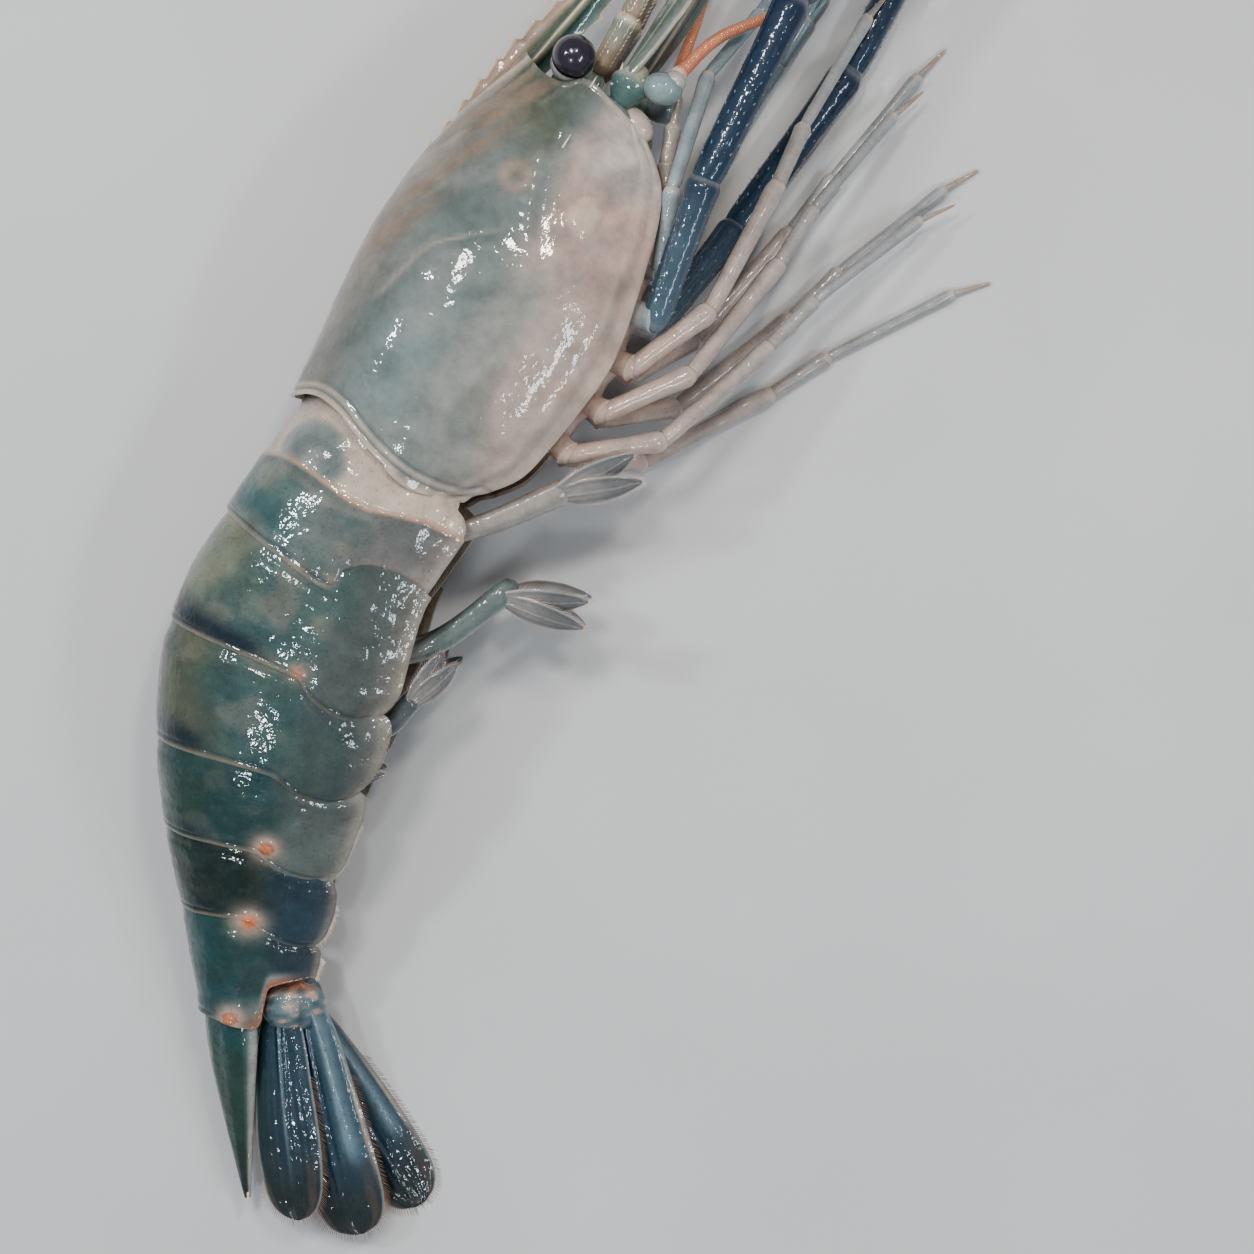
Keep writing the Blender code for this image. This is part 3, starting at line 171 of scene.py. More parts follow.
# Thin legs: root (a, w), radii and lengths of the parts, then each side's headings and heights of the joints
LEGS = {
    "pereopod_1": {
        "coxa": 1.6,
        "root": (14.0, 2.8),
        "radii": (1.2, 1.25, 1.15, 1.0, 1.05, 0.7),
        "lengths": (12.4, 18.7, 13.5, 8.0, 7.0),
        "right": ((80, 73, 52, 54, 50), (23.0, 18.0, 13.2, 11.2, 9.6)),
        "left": ((68, 61, 58, 58, 56), (1.7, 1.25, 1.1, 1.05, 0.55)),
    },
    "pereopod_3": {
        "root": (0.5, 4.3),
        "radii": (1.9, 1.6, 1.4, 1.2, 0.95, 0.6),
        "lengths": (14.0, 22.0, 10.0, 20.0, 6.0),
        "right": ((37, 62, 66, 60, 50), (20.0, 15.0, 12.5, 8.0, 7.0)),
        "left": ((33, 48, 52, 50, 45), (1.8, 1.5, 1.2, 0.9, 0.5)),
    },
    "pereopod_4": {
        "root": (-6.5, 4.3),
        "radii": (1.9, 1.55, 1.35, 1.15, 0.9, 0.6),
        "lengths": (14.0, 22.0, 10.0, 20.0, 6.0),
        "right": ((25, 52, 58, 50, 40), (19.0, 13.0, 10.5, 5.2, 3.8)),
        "left": ((12, 38, 44, 38, 30), (1.7, 1.45, 1.2, 0.9, 0.5)),
    },
    "pereopod_5": {
        "root": (-13.5, 4.3),
        "radii": (1.9, 1.5, 1.3, 1.1, 0.85, 0.55),
        "lengths": (14.0, 22.0, 10.0, 21.0, 6.0),
        "right": ((9, 42, 46, 38, 25), (18.0, 12.0, 9.5, 4.6, 3.4)),
        "left": ((0, 28, 33, 27, 16), (1.7, 1.4, 1.15, 0.85, 0.5)),
    },
}
MAXILLIPED_ROOT = (20.0, 2.0)
MAXILLIPED_PATH = ((24.5, -17.2, 2.9), (29.0, -14.4, 2.6), (34.0, -12.6, 2.4), (38.5, -11.2, 2.4))
MAXILLIPED_RADII = (1.2, 1.25, 1.25, 1.15, 0.8)
CLAW_ROOT = (7.5, 4.5)
CLAW_LENGTHS = (21.0, 28.9, 42.0, 33.0, 25.0)
CLAW_RADII = (2.1, 2.3, 2.55, 2.5, 2.75, 1.5)
CLAW_HEADINGS = {"right": (70, 64, 38, 50, 56), "left": (52, 54, 62, 70, 76)}
CLAW_HEIGHTS = {"right": (25.4, 24.4, 11.5, 6.2, 3.2), "left": (3.0, 2.7, 2.6, 2.75, 1.9)}

# Swimmerets, one value a pair: half spacing, a of the root, then (a, d) of the stem's bend and end
PLEOPOD_W = (3.6, 4.2, 5.3, 3.4, 2.9)
PLEOPOD_ROOT = (-38.3, -54.5, -68.6, -79.8, -91.2)
PLEOPOD_BEND = ((-31.0, -16.0), (-51.0, -17.2), (-66.0, -15.6), (-77.8, -8.9), (-88.0, -7.6))
PLEOPOD_END = ((-18.5, -25.6), (-36.0, -25.6), (-58.5, -19.0), (-75.2, -11.8), (-84.8, -9.8))
PLEOPOD_SIZE = (1.05, 1.05, 0.9, 0.68, 0.57)
PLEOPOD_BLADE = (13.0, 13.0, 9.0, 7.0, 7.5)
PLEOPOD_BLADE_SWING = (52.0, 20.0, 74.0, 34.0, 44.0)

TELSON_END = 31.4
TELSON_HALF_WIDTH = 5.5
TELSON_CREST = 3.2
TELSON_KEEL = 1.5
TELSON_ROLL = 35.0
# Along the telson: share of its length, height of its middle, half width and thickness as shares
TELSON_STATIONS = (
    (0.0, 2.2, 1.0, 1.0), (0.12, 2.1, 0.95, 1.0), (0.4, 1.7, 0.68, 0.8), (0.7, 1.1, 0.37, 0.55),
    (0.9, 0.7, 0.16, 0.34), (1.0, 0.5, 0.07, 0.2),
)
# Tail blades: (back, d, w) of root and tip behind the last joint, and lean in degrees
UROPODS = {
    "right": {
        "base": 3.7,
        "endopod": ((5.2, -5.1, 3.9), (34.2, -6.6, 4.6), 24.0),
        "exopod": ((5.2, -9.4, 3.5), (37.4, -15.9, 3.0), 12.0),
    },
    "left": {
        "base": -3.6,
        "endopod": ((6.0, -5.2, -2.2), (33.0, -9.9, -0.4), 2.0),
        "exopod": ((6.9, -9.8, -4.6), (34.4, -25.8, -2.0), -10.0),
    },
}
# The foot of the tail blades: back, half height and half depth
UROPOD_BASE = ((-1.0, 2.2, 1.4), (-0.1, 3.7, 2.1), (1.8, 4.4, 2.5), (4.7, 4.3, 2.1))
UROPOD_BASE_HEIGHT = -7.1
# Blade outlines: share of the length, lower edge and upper edge
ENDOPOD_PROFILE = (
    (0.0, -2.5, 2.6), (0.12, -3.6, 3.5), (0.35, -4.5, 4.2), (0.62, -5.1, 4.8), (0.84, -4.6, 4.4),
    (0.93, -3.7, 3.5), (0.98, -2.1, 2.0), (1.0, -0.6, 0.6),
)
EXOPOD_PROFILE = (
    (0.0, -2.1, 2.4), (0.1, -3.2, 3.4), (0.32, -4.5, 4.2), (0.6, -5.6, 4.8), (0.82, -5.7, 4.9),
    (0.92, -4.9, 4.2), (0.975, -3.3, 2.7), (1.0, -1.2, 0.8),
)
GAP = 0.3
RESTING = 0.93            # share of a limb's radius that its middle keeps above the floor


# Colours, as they look on a screen from 0 to 255

def colour(red, green, teal_sheen_and_band):
    """Linear values of a screen colour."""
    made = []
    for value in (red, green, teal_sheen_and_band):
        share = value / 255
        made.append(share / 12.92 if share <= 0.04045 else ((share + 0.055) / 1.055) ** 2.4)
    return Vector(made)


PEARL = colour(156, 156, 150)
FLESH = colour(182, 160, 146)
ROSE = colour(200, 177, 165)
SHELL_WHITE = colour(226, 213, 205)
MIST = colour(124, 134, 130)
GREY_BLUE = colour(132, 146, 146)
DUSK = colour(134, 124, 113)
UMBER = colour(150, 128, 110)
MOSS = colour(98, 102, 84)
SEA = colour(82, 108, 104)
REED = colour(88, 114, 110)
SAGE = colour(112, 118, 101)
FERN = colour(88, 95, 78)
PINE = colour(42, 72, 64)
INK = colour(20, 44, 40)
LAGOON = colour(36, 78, 80)
FOG = colour(128, 131, 128)
HAZE = colour(104, 114, 110)
SMOKE = colour(86, 102, 100)
STORM = colour(44, 70, 84)
DEEP_SEA = colour(40, 72, 72)
NAVY = colour(10, 26, 40)
SLATE = colour(46, 64, 76)
TEAL = colour(24, 74, 86)
STEEL = colour(92, 114, 126)
BLUE = colour(26, 44, 68)
CREAM = colour(220, 206, 184)
TAN = colour(172, 136, 104)
ORANGE = colour(222, 122, 70)
SALMON = colour(200, 130, 100)
PINK = colour(202, 172, 160)
PALE_BLUE = colour(140, 162, 170)
PUPIL = colour(38, 32, 46)
PLUM = colour(58, 42, 46)


def blend(near, far, share):
    """The colour a share of the way from near to far."""
    return near.lerp(far, min(max(share, 0.0), 1.0))


def coats(tone, *layers):
    """The colour after each layer, a colour and its share, is laid over it."""
    for over, share in layers:
        tone = blend(tone, over, share)
    return tone


def step(low, high, x):
    """0 below low, 1 above high, with a soft slope between."""
    t = min(max((x - low) / (high - low), 0.0), 1.0)
    return t * t * (3 - 2 * t)


def bell(x, middle, width):
    """A soft rise of 1 at the middle that has gone at about twice the width."""
    return math.exp(-((x - middle) / width) ** 2)


def smooth(stations, values, x):
    """A smooth curve through the values at rising stations, level beyond both ends."""
    if x <= stations[0]:
        return values[0]
    if x >= stations[-1]:
        return values[-1]
    i = max(k for k in range(len(stations) - 1) if stations[k] <= x)
    span = stations[i + 1] - stations[i]

    def slope(k):
        low, high = max(k - 1, 0), min(k + 1, len(stations) - 1)
        return (values[high] - values[low]) / (stations[high] - stations[low])

    t = (x - stations[i]) / span
    return (
        values[i] * (1 + 2 * t) * (1 - t) ** 2
        + values[i + 1] * t * t * (3 - 2 * t)
        + span * slope(i) * t * (1 - t) ** 2
        - span * slope(i + 1) * t * t * (1 - t)
    )


def column(table, k):
    return [row[k] for row in table]


def lifted(point, least):
    """The point, raised to the least height where it is lower."""
    return Vector((point.x, point.y, max(point.z, least)))


def side_axes(line):
    """Two directions at right angles to a line and to each other."""
    across = line.orthogonal().normalized()
    return across, line.cross(across)


def joint_positions():
    positions = [CARAPACE_REAR]
    for length in SOMITE_LENGTHS:
        positions.append(positions[-1] - length)
    return positions


JOINTS = joint_positions()


def at_joints(values, a):
    """A smooth curve at a, through one value for each joint of the abdomen."""
    return smooth(JOINTS[::-1], values[::-1], a)


def build_spine():
    """Centre points and frames every SPINE_STEP behind the carapace."""
    mids = [-(JOINTS[i] + JOINTS[i + 1]) / 2 for i in range(6)]
    places = [-CARAPACE_REAR, *mids, -JOINTS[6] + 10]
    headings = [CARAPACE_HEADING, *SOMITE_HEADINGS, TAIL_HEADING]
    tail_end = -JOINTS[6] + TAIL_LENGTH
    heights_at = [-j for j in JOINTS] + [tail_end]
    heights = [*JOINT_HEIGHTS, TAIL_HEIGHT]
    start = math.radians(CARAPACE_HEADING)
    x, y = CARAPACE_REAR * math.cos(start), CARAPACE_REAR * math.sin(start)
    rows, back = [], -CARAPACE_REAR
    while back < tail_end + 2:
        turn = math.radians(smooth(places, headings, back))
        z = smooth(heights_at, heights, back)
        fall = smooth(heights_at, heights, back + 0.5) - smooth(heights_at, heights, back - 0.5)
        forward = Vector((math.cos(turn), math.sin(turn), -fall)).normalized()
        side = (Vector((0, 0, 1)) - forward * forward.z).normalized()
        up = side.cross(forward)
        roll = math.radians(smooth((-JOINTS[2], -JOINTS[6]), (0.0, TAIL_ROLL), back))
        rows.append((
            Vector((x, y, z)), forward,
            up * math.cos(roll) + side * math.sin(roll),
            side * math.cos(roll) - up * math.sin(roll),
        ))
        x -= SPINE_STEP * math.cos(turn)
        y -= SPINE_STEP * math.sin(turn)
        back += SPINE_STEP
    return rows


SPINE = build_spine()


def body_frame(a):
    """Centre, forward, back and right directions of the body at a."""
    if a >= CARAPACE_REAR:
        turn = math.radians(CARAPACE_HEADING)
        forward = Vector((math.cos(turn), math.sin(turn), 0))
        centre = forward * a + Vector((0, 0, CARAPACE_HEIGHT))
        return centre, forward, Vector((-forward.y, forward.x, 0)), Vector((0, 0, 1))
    place = (CARAPACE_REAR - a) / SPINE_STEP
    i = min(int(place), len(SPINE) - 2)
    t = place - i
    return tuple(SPINE[i][k].lerp(SPINE[i + 1][k], t) for k in range(4))


def body_point(a, d, w):
    """The point of body coordinates (a, d, w) in the scene, in millimetres."""
    centre, _, up, side = body_frame(a)
    return centre + up * d + side * w


def tail_point(back, d, w, roll=0.0):
    """A point behind the last joint, in the last joint's own straight frame."""
    centre, forward, up, out = body_frame(JOINTS[6])
    turn = math.radians(roll)
    up, out = up * math.cos(turn) + out * math.sin(turn), out * math.cos(turn) - up * math.sin(turn)
    return centre - forward * back + up * d + out * w


# Materials

class Nodes:
    """A material's node tree with short calls to add and join nodes."""

    def __init__(self, name):
        self.material = bpy.data.materials.new(name)
        self.material.use_nodes = True
        self.tree = self.material.node_tree
        self.shader = self.tree.nodes["Principled BSDF"]

    def add(self, kind, **settings):
        node = self.tree.nodes.new(kind)
        for key, value in settings.items():
            if key in node.inputs:
                node.inputs[key].default_value = value
            else:
                setattr(node, key, value)
        return node

    def join(self, out, into):
        self.tree.links.new(out, into)

    def place(self):
        return self.add("ShaderNodeTexCoord").outputs["Object"]

    def noise(self, scale, detail=3.0, rough=0.5):
        node = self.add("ShaderNodeTexNoise", Scale=scale, Detail=detail, Roughness=rough)
        self.join(self.place(), node.inputs["Vector"])
        return node.outputs["Fac"]

    def ramp(self, value, stops):
        node = self.add("ShaderNodeValToRGB")
        elements = node.color_ramp.elements
        while len(elements) < len(stops):
            elements.new(0.5)
        for element, (position, shade) in zip(elements, stops):
            element.position = position
            element.color = (*shade, 1)
        self.join(value, node.inputs["Fac"])
        return node.outputs["Color"]

    def mix(self, fac, near, far, mode="MIX"):
        node = self.add("ShaderNodeMix", data_type="RGBA", blend_type=mode)
        for value, into in ((fac, node.inputs[0]), (near, node.inputs[6]), (far, node.inputs[7])):
            if isinstance(value, bpy.types.NodeSocket):
                self.join(value, into)
            else:
                into.default_value = value if isinstance(value, float) else (*value, 1)
        return node.outputs[2]

    def bump(self, height, strength, distance, normal=None):
        node = self.add("ShaderNodeBump", Strength=strength, Distance=distance)
        self.join(height, node.inputs["Height"])
        if normal:
            self.join(normal, node.inputs["Normal"])
        return node.outputs["Normal"]

    def feed(self, links):
        for name, out in links.items():
            self.join(out, self.shader.inputs[name])

    def settle(self, values):
        for name, value in values.items():
            self.shader.inputs[name].default_value = value


def grey(value):
    return (value, value, value)


WET_SHADER = {
    "Specular IOR Level": 0.2,
    "Coat Weight": 1.0,
    "Coat Roughness": 0.06,
    "Coat IOR": 1.5,
    "Subsurface Radius": (0.9, 0.8, 0.65),
    "Subsurface Scale": 0.0018,
    "IOR": 1.45,
}
EYE_SHADER = {"Coat Weight": 1.0, "Coat Roughness": 0.03}
FACETS = 5200.0


def wet_shell(name, depth, rough, speckle, ripple, milk, sparkle):
    """Shell colour from the mesh's own tint, with mottling, fine specks and a rippled wet gloss."""
    n = Nodes(name)
    tint = n.add("ShaderNodeAttribute", attribute_name="Tint").outputs["Color"]
    mottle = n.ramp(n.noise(260.0, 6.0, 0.66), [(0.30, grey(0.78)), (0.5, grey(1.0)), (0.72, grey(1.22))])
    tone = n.mix(1.0, tint, mottle, "MULTIPLY")
    speck_stops = [(0.0, grey(1.0)), (0.60, grey(1.0)), (0.70, grey(1.0 - speckle))]
    tone = n.mix(1.0, tone, n.ramp(n.noise(2300.0, 2.0, 0.6), speck_stops), "MULTIPLY")
    haze = n.ramp(n.noise(700.0, 5.0, 0.66), [(0.48, grey(0.0)), (0.78, grey(milk))])
    tone = n.mix(haze, tone, tuple(PEARL))
    gloss = n.ramp(n.noise(340.0, 4.0, 0.55), [(0.3, grey(rough * 0.7)), (0.7, grey(rough * 1.5))])
    wave = n.bump(n.noise(240.0, 2.0, 0.5), ripple, 0.0009)
    grain = n.bump(n.noise(1500.0, 3.0, 0.6), ripple, 0.00018, wave)
    swell = n.bump(n.noise(300.0, 2.0, 0.5), sparkle * 0.55, 0.0011)
    dimples = n.bump(n.noise(760.0, 2.0, 0.5), sparkle, 0.00040, swell)
    n.feed({"Base Color": tone, "Roughness": gloss, "Normal": grain, "Coat Normal": dimples})
    n.settle({**WET_SHADER, "Subsurface Weight": depth})
    return n.material


def eye_material():
    """A dark wet ball with fine facets."""
    n = Nodes("eye_facets")
    tint = n.add("ShaderNodeAttribute", attribute_name="Tint").outputs["Color"]
    cells = n.add("ShaderNodeTexVoronoi", Scale=FACETS)
    n.join(n.place(), cells.inputs["Vector"])
    mottle = n.ramp(n.noise(700.0, 3.0), [(0.3, grey(0.7)), (0.7, grey(1.3))])
    tone = n.mix(1.0, tint, mottle, "MULTIPLY")
    facets = n.bump(cells.outputs["Distance"], 0.25, 0.00006)
    gloss = n.ramp(n.noise(900.0, 2.0), [(0.3, grey(0.12)), (0.7, grey(0.24))])
    n.feed({"Base Color": tone, "Normal": facets, "Roughness": gloss})
    n.settle(EYE_SHADER)
    return n.material


# A material for each slot: name, glow from within, roughness, specks, ripples, milkiness and sparkle
MATERIALS = {
    "carapace_shell": wet_shell("carapace_wet", 0.30, 0.34, 0.06, 0.30, 0.14, 0.22),
    "abdomen_shell": wet_shell("abdomen_wet", 0.20, 0.32, 0.30, 0.45, 0.06, 0.36),
    "tail_shell": wet_shell("tail_wet", 0.06, 0.32, 0.35, 0.40, 0.02, 0.55),
    "claw_shell": wet_shell("claw_wet", 0.05, 0.34, 0.25, 0.35, 0.02, 0.36),
    "leg_shell": wet_shell("leg_wet", 0.30, 0.32, 0.22, 0.40, 0.16, 0.34),
    "feeler": wet_shell("feeler_wet", 0.15, 0.40, 0.20, 0.2, 0.06, 0.3),
    "swimmeret": wet_shell("swimmeret_wet", 0.22, 0.30, 0.20, 0.35, 0.08, 0.5),
    "cornea": eye_material(),
}


# Meshes

FLOOR_GAP = 0.04
INNER_SHADE = 0.8         # colour of a plate's inside as a share of its outside
SHARP_ANGLE = 55
BRISTLE_TURNS = (0.0, 2.094, 4.189)
BRISTLE_SIZES = ((0.0, 1.0), (0.4, 0.8), (0.75, 0.5), (1.0, 0.15))
MARK_SPREAD = 0.0014      # width of one bristle's patch on the unwrap


class Shape:
    """Points with tints and faces, in millimetres, made one object at the end."""

    def __init__(self):
        self.points, self.tints, self.faces, self.marks = [], [], [], []

    def add(self, point, tint):
        self.points.append(point)
        self.tints.append(tint)
        return len(self.points) - 1

    def rings(self, loops, tints):
        """A closed skin over rings of equal count; tints holds one colour per ring or per point."""
        rows = []
        for loop, tint in zip(loops, tints):
            each = tint if isinstance(tint, list) else [tint] * len(loop)
            rows.append([self.add(p, t) for p, t in zip(loop, each)])
        count = len(loops[0])
        for near, far in zip(rows, rows[1:]):
            for j in range(count):
                k = (j + 1) % count
                self.faces.append((near[j], near[k], far[k], far[j]))
        for row, loop, turn in ((rows[0], loops[0], 1), (rows[-1], loops[-1], -1)):
            hub = self.add(sum(loop, Vector()) / count, self.tints[row[0]])
            for j in range(count):
                k = (j + 1) % count
                self.faces.append((hub, row[k], row[j]) if turn > 0 else (hub, row[j], row[k]))

    def tube(self, points, radii, tints, sides=12):
        """A round tube with domed ends; tints holds one colour, or one for each point."""
        if not isinstance(tints, list):
            tints = [tints] * len(points)
        tangents = []
        for i in range(len(points)):
            ahead, behind = points[min(i + 1, len(points) - 1)], points[max(i - 1, 0)]
            tangents.append((ahead - behind).normalized())
        across = Vector((0, 0, 1))
        if abs(across.dot(tangents[0])) > 0.95:
            across = Vector((1, 0, 0))
        turns = [2 * math.pi * k / sides for k in range(sides)]
        circle = [(math.cos(turn), math.sin(turn)) for turn in turns]
        loops, kept = [], []
        for i, (point, radius, tint, tangent) in enumerate(zip(points, radii, tints, tangents)):
            across = (across - tangent * across.dot(tangent)).normalized()
            other = tangent.cross(across)
            ends = []
            if i == 0:
                ends = [(-0.55, 0.35), (-0.38, 0.78)]
            elif i == len(points) - 1:
                ends = [(0.38, 0.78), (0.55, 0.35)]
            own = [point + across * c * radius + other * s * radius for c, s in circle]
            extra = []
            for shift, size in ends:
                middle = point + tangent * shift * radius
                extra.append([middle + (across * c + other * s) * radius * size for c, s in circle])
            made = extra + [own] if i == 0 else [own] + extra
            loops += made
            kept += [tint] * len(made)
        self.rings(loops, kept)

    def plate(self, rows, tints, thick):
        """A thin closed shell: rows are a grid of points on its outside, thick its wall."""
        count, width = len(rows), len(rows[0])
        rows = [[lifted(p, FLOOR_GAP) for p in row] for row in rows]
        outer = [[self.add(p, t) for p, t in zip(row, line)] for row, line in zip(rows, tints)]
        inner = []
        for i in range(count):
            line = []
            for j in range(width):
                along = rows[min(i + 1, count - 1)][j] - rows[max(i - 1, 0)][j]
                across = rows[i][min(j + 1, width - 1)] - rows[i][max(j - 1, 0)]
                normal = along.cross(across).normalized()
                inside = lifted(rows[i][j] - normal * thick, FLOOR_GAP + 0.7 * thick)
                line.append(self.add(inside, tints[i][j] * INNER_SHADE))
            inner.append(line)
        for i in range(count - 1):
            for j in range(width - 1):
                self.faces.append((outer[i][j], outer[i + 1][j], outer[i + 1][j + 1], outer[i][j + 1]))
                self.faces.append((inner[i][j], inner[i][j + 1], inner[i + 1][j + 1], inner[i + 1][j]))
        rim = [(0, j) for j in range(width)] + [(i, width - 1) for i in range(1, count)]
        rim += [(count - 1, j) for j in range(width - 2, -1, -1)] + [(i, 0) for i in range(count - 2, 0, -1)]
        for (i, j), (k, m) in zip(rim, rim[1:] + rim[:1]):
            self.faces.append((outer[i][j], outer[k][m], inner[k][m], inner[i][j]))

    def ball(self, centre, radius, tint, axis=Vector((0, 0, 1)), squash=1.0, segments=20):
        """A ball, longer or shorter along its axis by squash."""
        axis = axis.normalized()
        across, other = side_axes(axis)
        loops = []
        for i in range(1, segments // 2):
            turn = math.pi * i / (segments // 2)
            middle = centre + axis * math.cos(turn) * radius * squash
            size = math.sin(turn) * radius
            loops.append([
                middle + across * math.cos(2 * math.pi * k / segments) * size
                + other * math.sin(2 * math.pi * k / segments) * size for k in range(segments)
            ])
        self.rings(loops, [tint] * len(loops))

    def spike(self, base, tip, radius, tint, sides=6):
        """A thin pointed cone."""
        points, radii = [], []
        for i in range(5):
            t = i / 4
            points.append(base.lerp(tip, t))
            radii.append(radius * (1 - t) ** 0.8 + 0.02)
        self.tube(points, radii, tint, sides)

    def bristle(self, root, tip, radius, tint, mark):
        """One stiff hair; mark is its place on the unwrap of what it grows from."""
        first = len(self.points)
        across, other = side_axes((tip - root).normalized())
        loops = []
        for t, size in BRISTLE_SIZES:
            middle = root.lerp(tip, t)
            loops.append([
                middle + (across * math.cos(turn) + other * math.sin(turn)) * radius * size
                for turn in BRISTLE_TURNS
            ])
        self.rings(loops, [tint] * len(loops))
        for k in range(first, len(self.points)):
            u, v = MARK_SPREAD * math.cos(k * 2.4), MARK_SPREAD * math.sin(k * 2.4)
            self.marks.append((mark[0] + u, mark[1] + v))

    def finish(self, name, slot, *nodes):
        """Makes the object, in its slot's material, in place of the CAD nodes."""
        mesh = bpy.data.meshes.new(name)
        mesh.from_pydata([lifted(p, FLOOR_GAP) * MM for p in self.points], [], self.faces)
        layer = mesh.color_attributes.new("Tint", "FLOAT_COLOR", "POINT")
        layer.data.foreach_set("color", [c for tint in self.tints for c in (*tint, 1.0)])
        mesh.materials.append(MATERIALS[slot])
        if self.marks:
            unwrap = mesh.uv_layers.new(name="OFBake")
            for loop in mesh.loops:
                unwrap.data[loop.index].uv = self.marks[loop.vertex_index]
        mesh.validate()
        mesh.shade_smooth()
        mesh.set_sharp_from_angle(angle=math.radians(SHARP_ANGLE))
        obj = bpy.data.objects.new(name, mesh)
        bpy.context.scene.collection.objects.link(obj)
        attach(obj, "root")
        if nodes:
            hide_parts(*nodes)


# The hairs of each kind grow into one shape, which gets the slot of what carries them
HAIR_SLOTS = {
    "scale": "carapace_shell",
    "tail": "tail_shell",
    "swimmeret": "swimmeret",
    "plate": "abdomen_shell",
}
HAIRS = {kind: Shape() for kind in HAIR_SLOTS}


def resample(points, radii, count):
    """More points and radii on a smooth curve through the given ones."""
    keys = list(range(len(points)))
    made, sizes = [], []
    for i in range(count):
        t = i * (len(points) - 1) / (count - 1)
        made.append(Vector([smooth(keys, column(points, k), t) for k in range(3)]))
        sizes.append(smooth(keys, radii, t))
    return made, sizes


# Carapace and head

def margin_depth(a):
    return smooth(MARGIN_A, MARGIN_DEPTH, a)


def carapace_section(a, share):
    """Height and half width on the carapace at a, from the back's middle to the margin."""
    top = smooth(CARAPACE_A, CARAPACE_TOP, a)
    half = smooth(CARAPACE_A, CARAPACE_WIDTH, a)
    if share <= 0.5:
        turn = share * math.pi
        return top * math.cos(turn), half * math.sin(turn)
    tuck = math.radians(MARGIN_TUCK)
    turn = (share - 0.5) * 2 * tuck
    return -margin_depth(a) * math.sin(turn) / math.sin(tuck), half * math.cos(turn)


def rear_edge(d):
    return smooth(REAR_EDGE_D, REAR_EDGE_A, d)


def front_edge(d):
    return smooth(FRONT_EDGE_D, FRONT_EDGE_A, d)


def carapace_place(share, u):
    """(a, d, w) on the plain carapace; share runs from its rear edge to its front one."""
    a = CARAPACE_REAR + (CARAPACE_FRONT - CARAPACE_REAR) * share
    for _ in range(3):
        d, w = carapace_section(a, abs(u))
        a = rear_edge(d) + (front_edge(d) - rear_edge(d)) * share
    return a, d, w


def crease(a):
    """Height d of the wrinkled fold that runs back from the orbit."""
    return smooth((4.0, 8.4, 14.9, 20.6, 25.0), (-6.8, -4.1, -1.1, 0.6, 1.6), a)


def seam_distance(a, d):
    """Signed distance to the fine seam above the gill chamber."""
    return d - smooth((-12.0, -4.5, -1.2, 1.2, 3.9, 7.5), (11.0, 9.1, 8.1, 6.8, 3.8, -0.4), a)


def jaw_muscle(a, d):
    """Distance to the swelling over the jaw muscle, 1 at its edge."""
    return math.hypot((a - 15.1) / 2.9, (d + 8.7) / 2.1)


def carapace_edges(share, u, d):
    """Distances from the carapace's rear edge, its front edge and its lower margin."""
    length = front_edge(d) - rear_edge(d)
    return share * length, (1 - share) * length, (1 - abs(u)) * CARAPACE_FLANK


def carapace_relief(share, u, a, d):
    """Height of rims, grooves and swellings above the plain carapace."""
    from_rear, from_front, from_margin = carapace_edges(share, u, d)
    rise = 0.10 * bell(from_rear, 0.2, 0.25) - 0.12 * bell(from_rear, 0.8, 0.3)
    rise += 0.10 * bell(from_rear, 1.5, 0.35)
    rise += 0.14 * bell(from_margin, 0.3, 0.35) - 0.14 * bell(from_margin, 1.15, 0.4)
    rise += 0.08 * bell(from_margin, 2.3, 0.35) - 0.08 * bell(from_margin, 3.0, 0.4)
    rise += 0.08 * bell(from_front, 0.2, 0.3) - 0.06 * bell(from_front, 1.0, 0.5)
    # groove behind the orbit, wrinkled fold, jaw muscle, and the seam above the gills
    rise -= 0.26 * bell(a, 21.5 - 0.25 * (d - 4), 1.6) * step(-5.0, 0.0, d) * step(12.0, 8.0, d)
    on_crease = step(5.0, 9.0, a) * step(26.0, 21.0, a)
    from_crease = d - crease(a)
    rise += (0.30 * bell(from_crease, 0.5, 1.0) - 0.20 * bell(from_crease, -1.3, 1.2)) * on_crease
    rise += 0.10 * math.sin(3.0 * a + 0.8 * d) * bell(from_crease, 0.3, 1.6) * on_crease
    from_ridge = d - smooth(ROSTRUM_A, ROSTRUM_RIDGE, a)
    crest = 0.30 * bell(from_ridge, 0.0, 0.5) * step(17.0, 27.0, a)
    rise += crest - 0.12 * bell(from_ridge, -1.2, 0.6) * step(22.0, 28.0, a)
    rise += 0.60 * step(1.25, 0.55, jaw_muscle(a, d))
    rise += 0.12 * bell(math.hypot(a - 20.3, d + 13.2), 0.0, 0.9)
    rise += 0.45 * bell(math.hypot(a - 25.5, d + 4.5), 0.0, 3.0)
    rise -= 0.12 * bell(seam_distance(a, d), 0.0, 0.5) * step(-12.0, -5.0, a) * step(9.0, 6.0, a)
    wave = noise.noise(Vector((a * 0.12, d * 0.16, 3.1)))
    fine = noise.noise(Vector((a * 0.42 + d * 0.16, d * 0.5 - a * 0.2, 7.7)))
    return rise + 0.24 * wave + 0.05 * fine


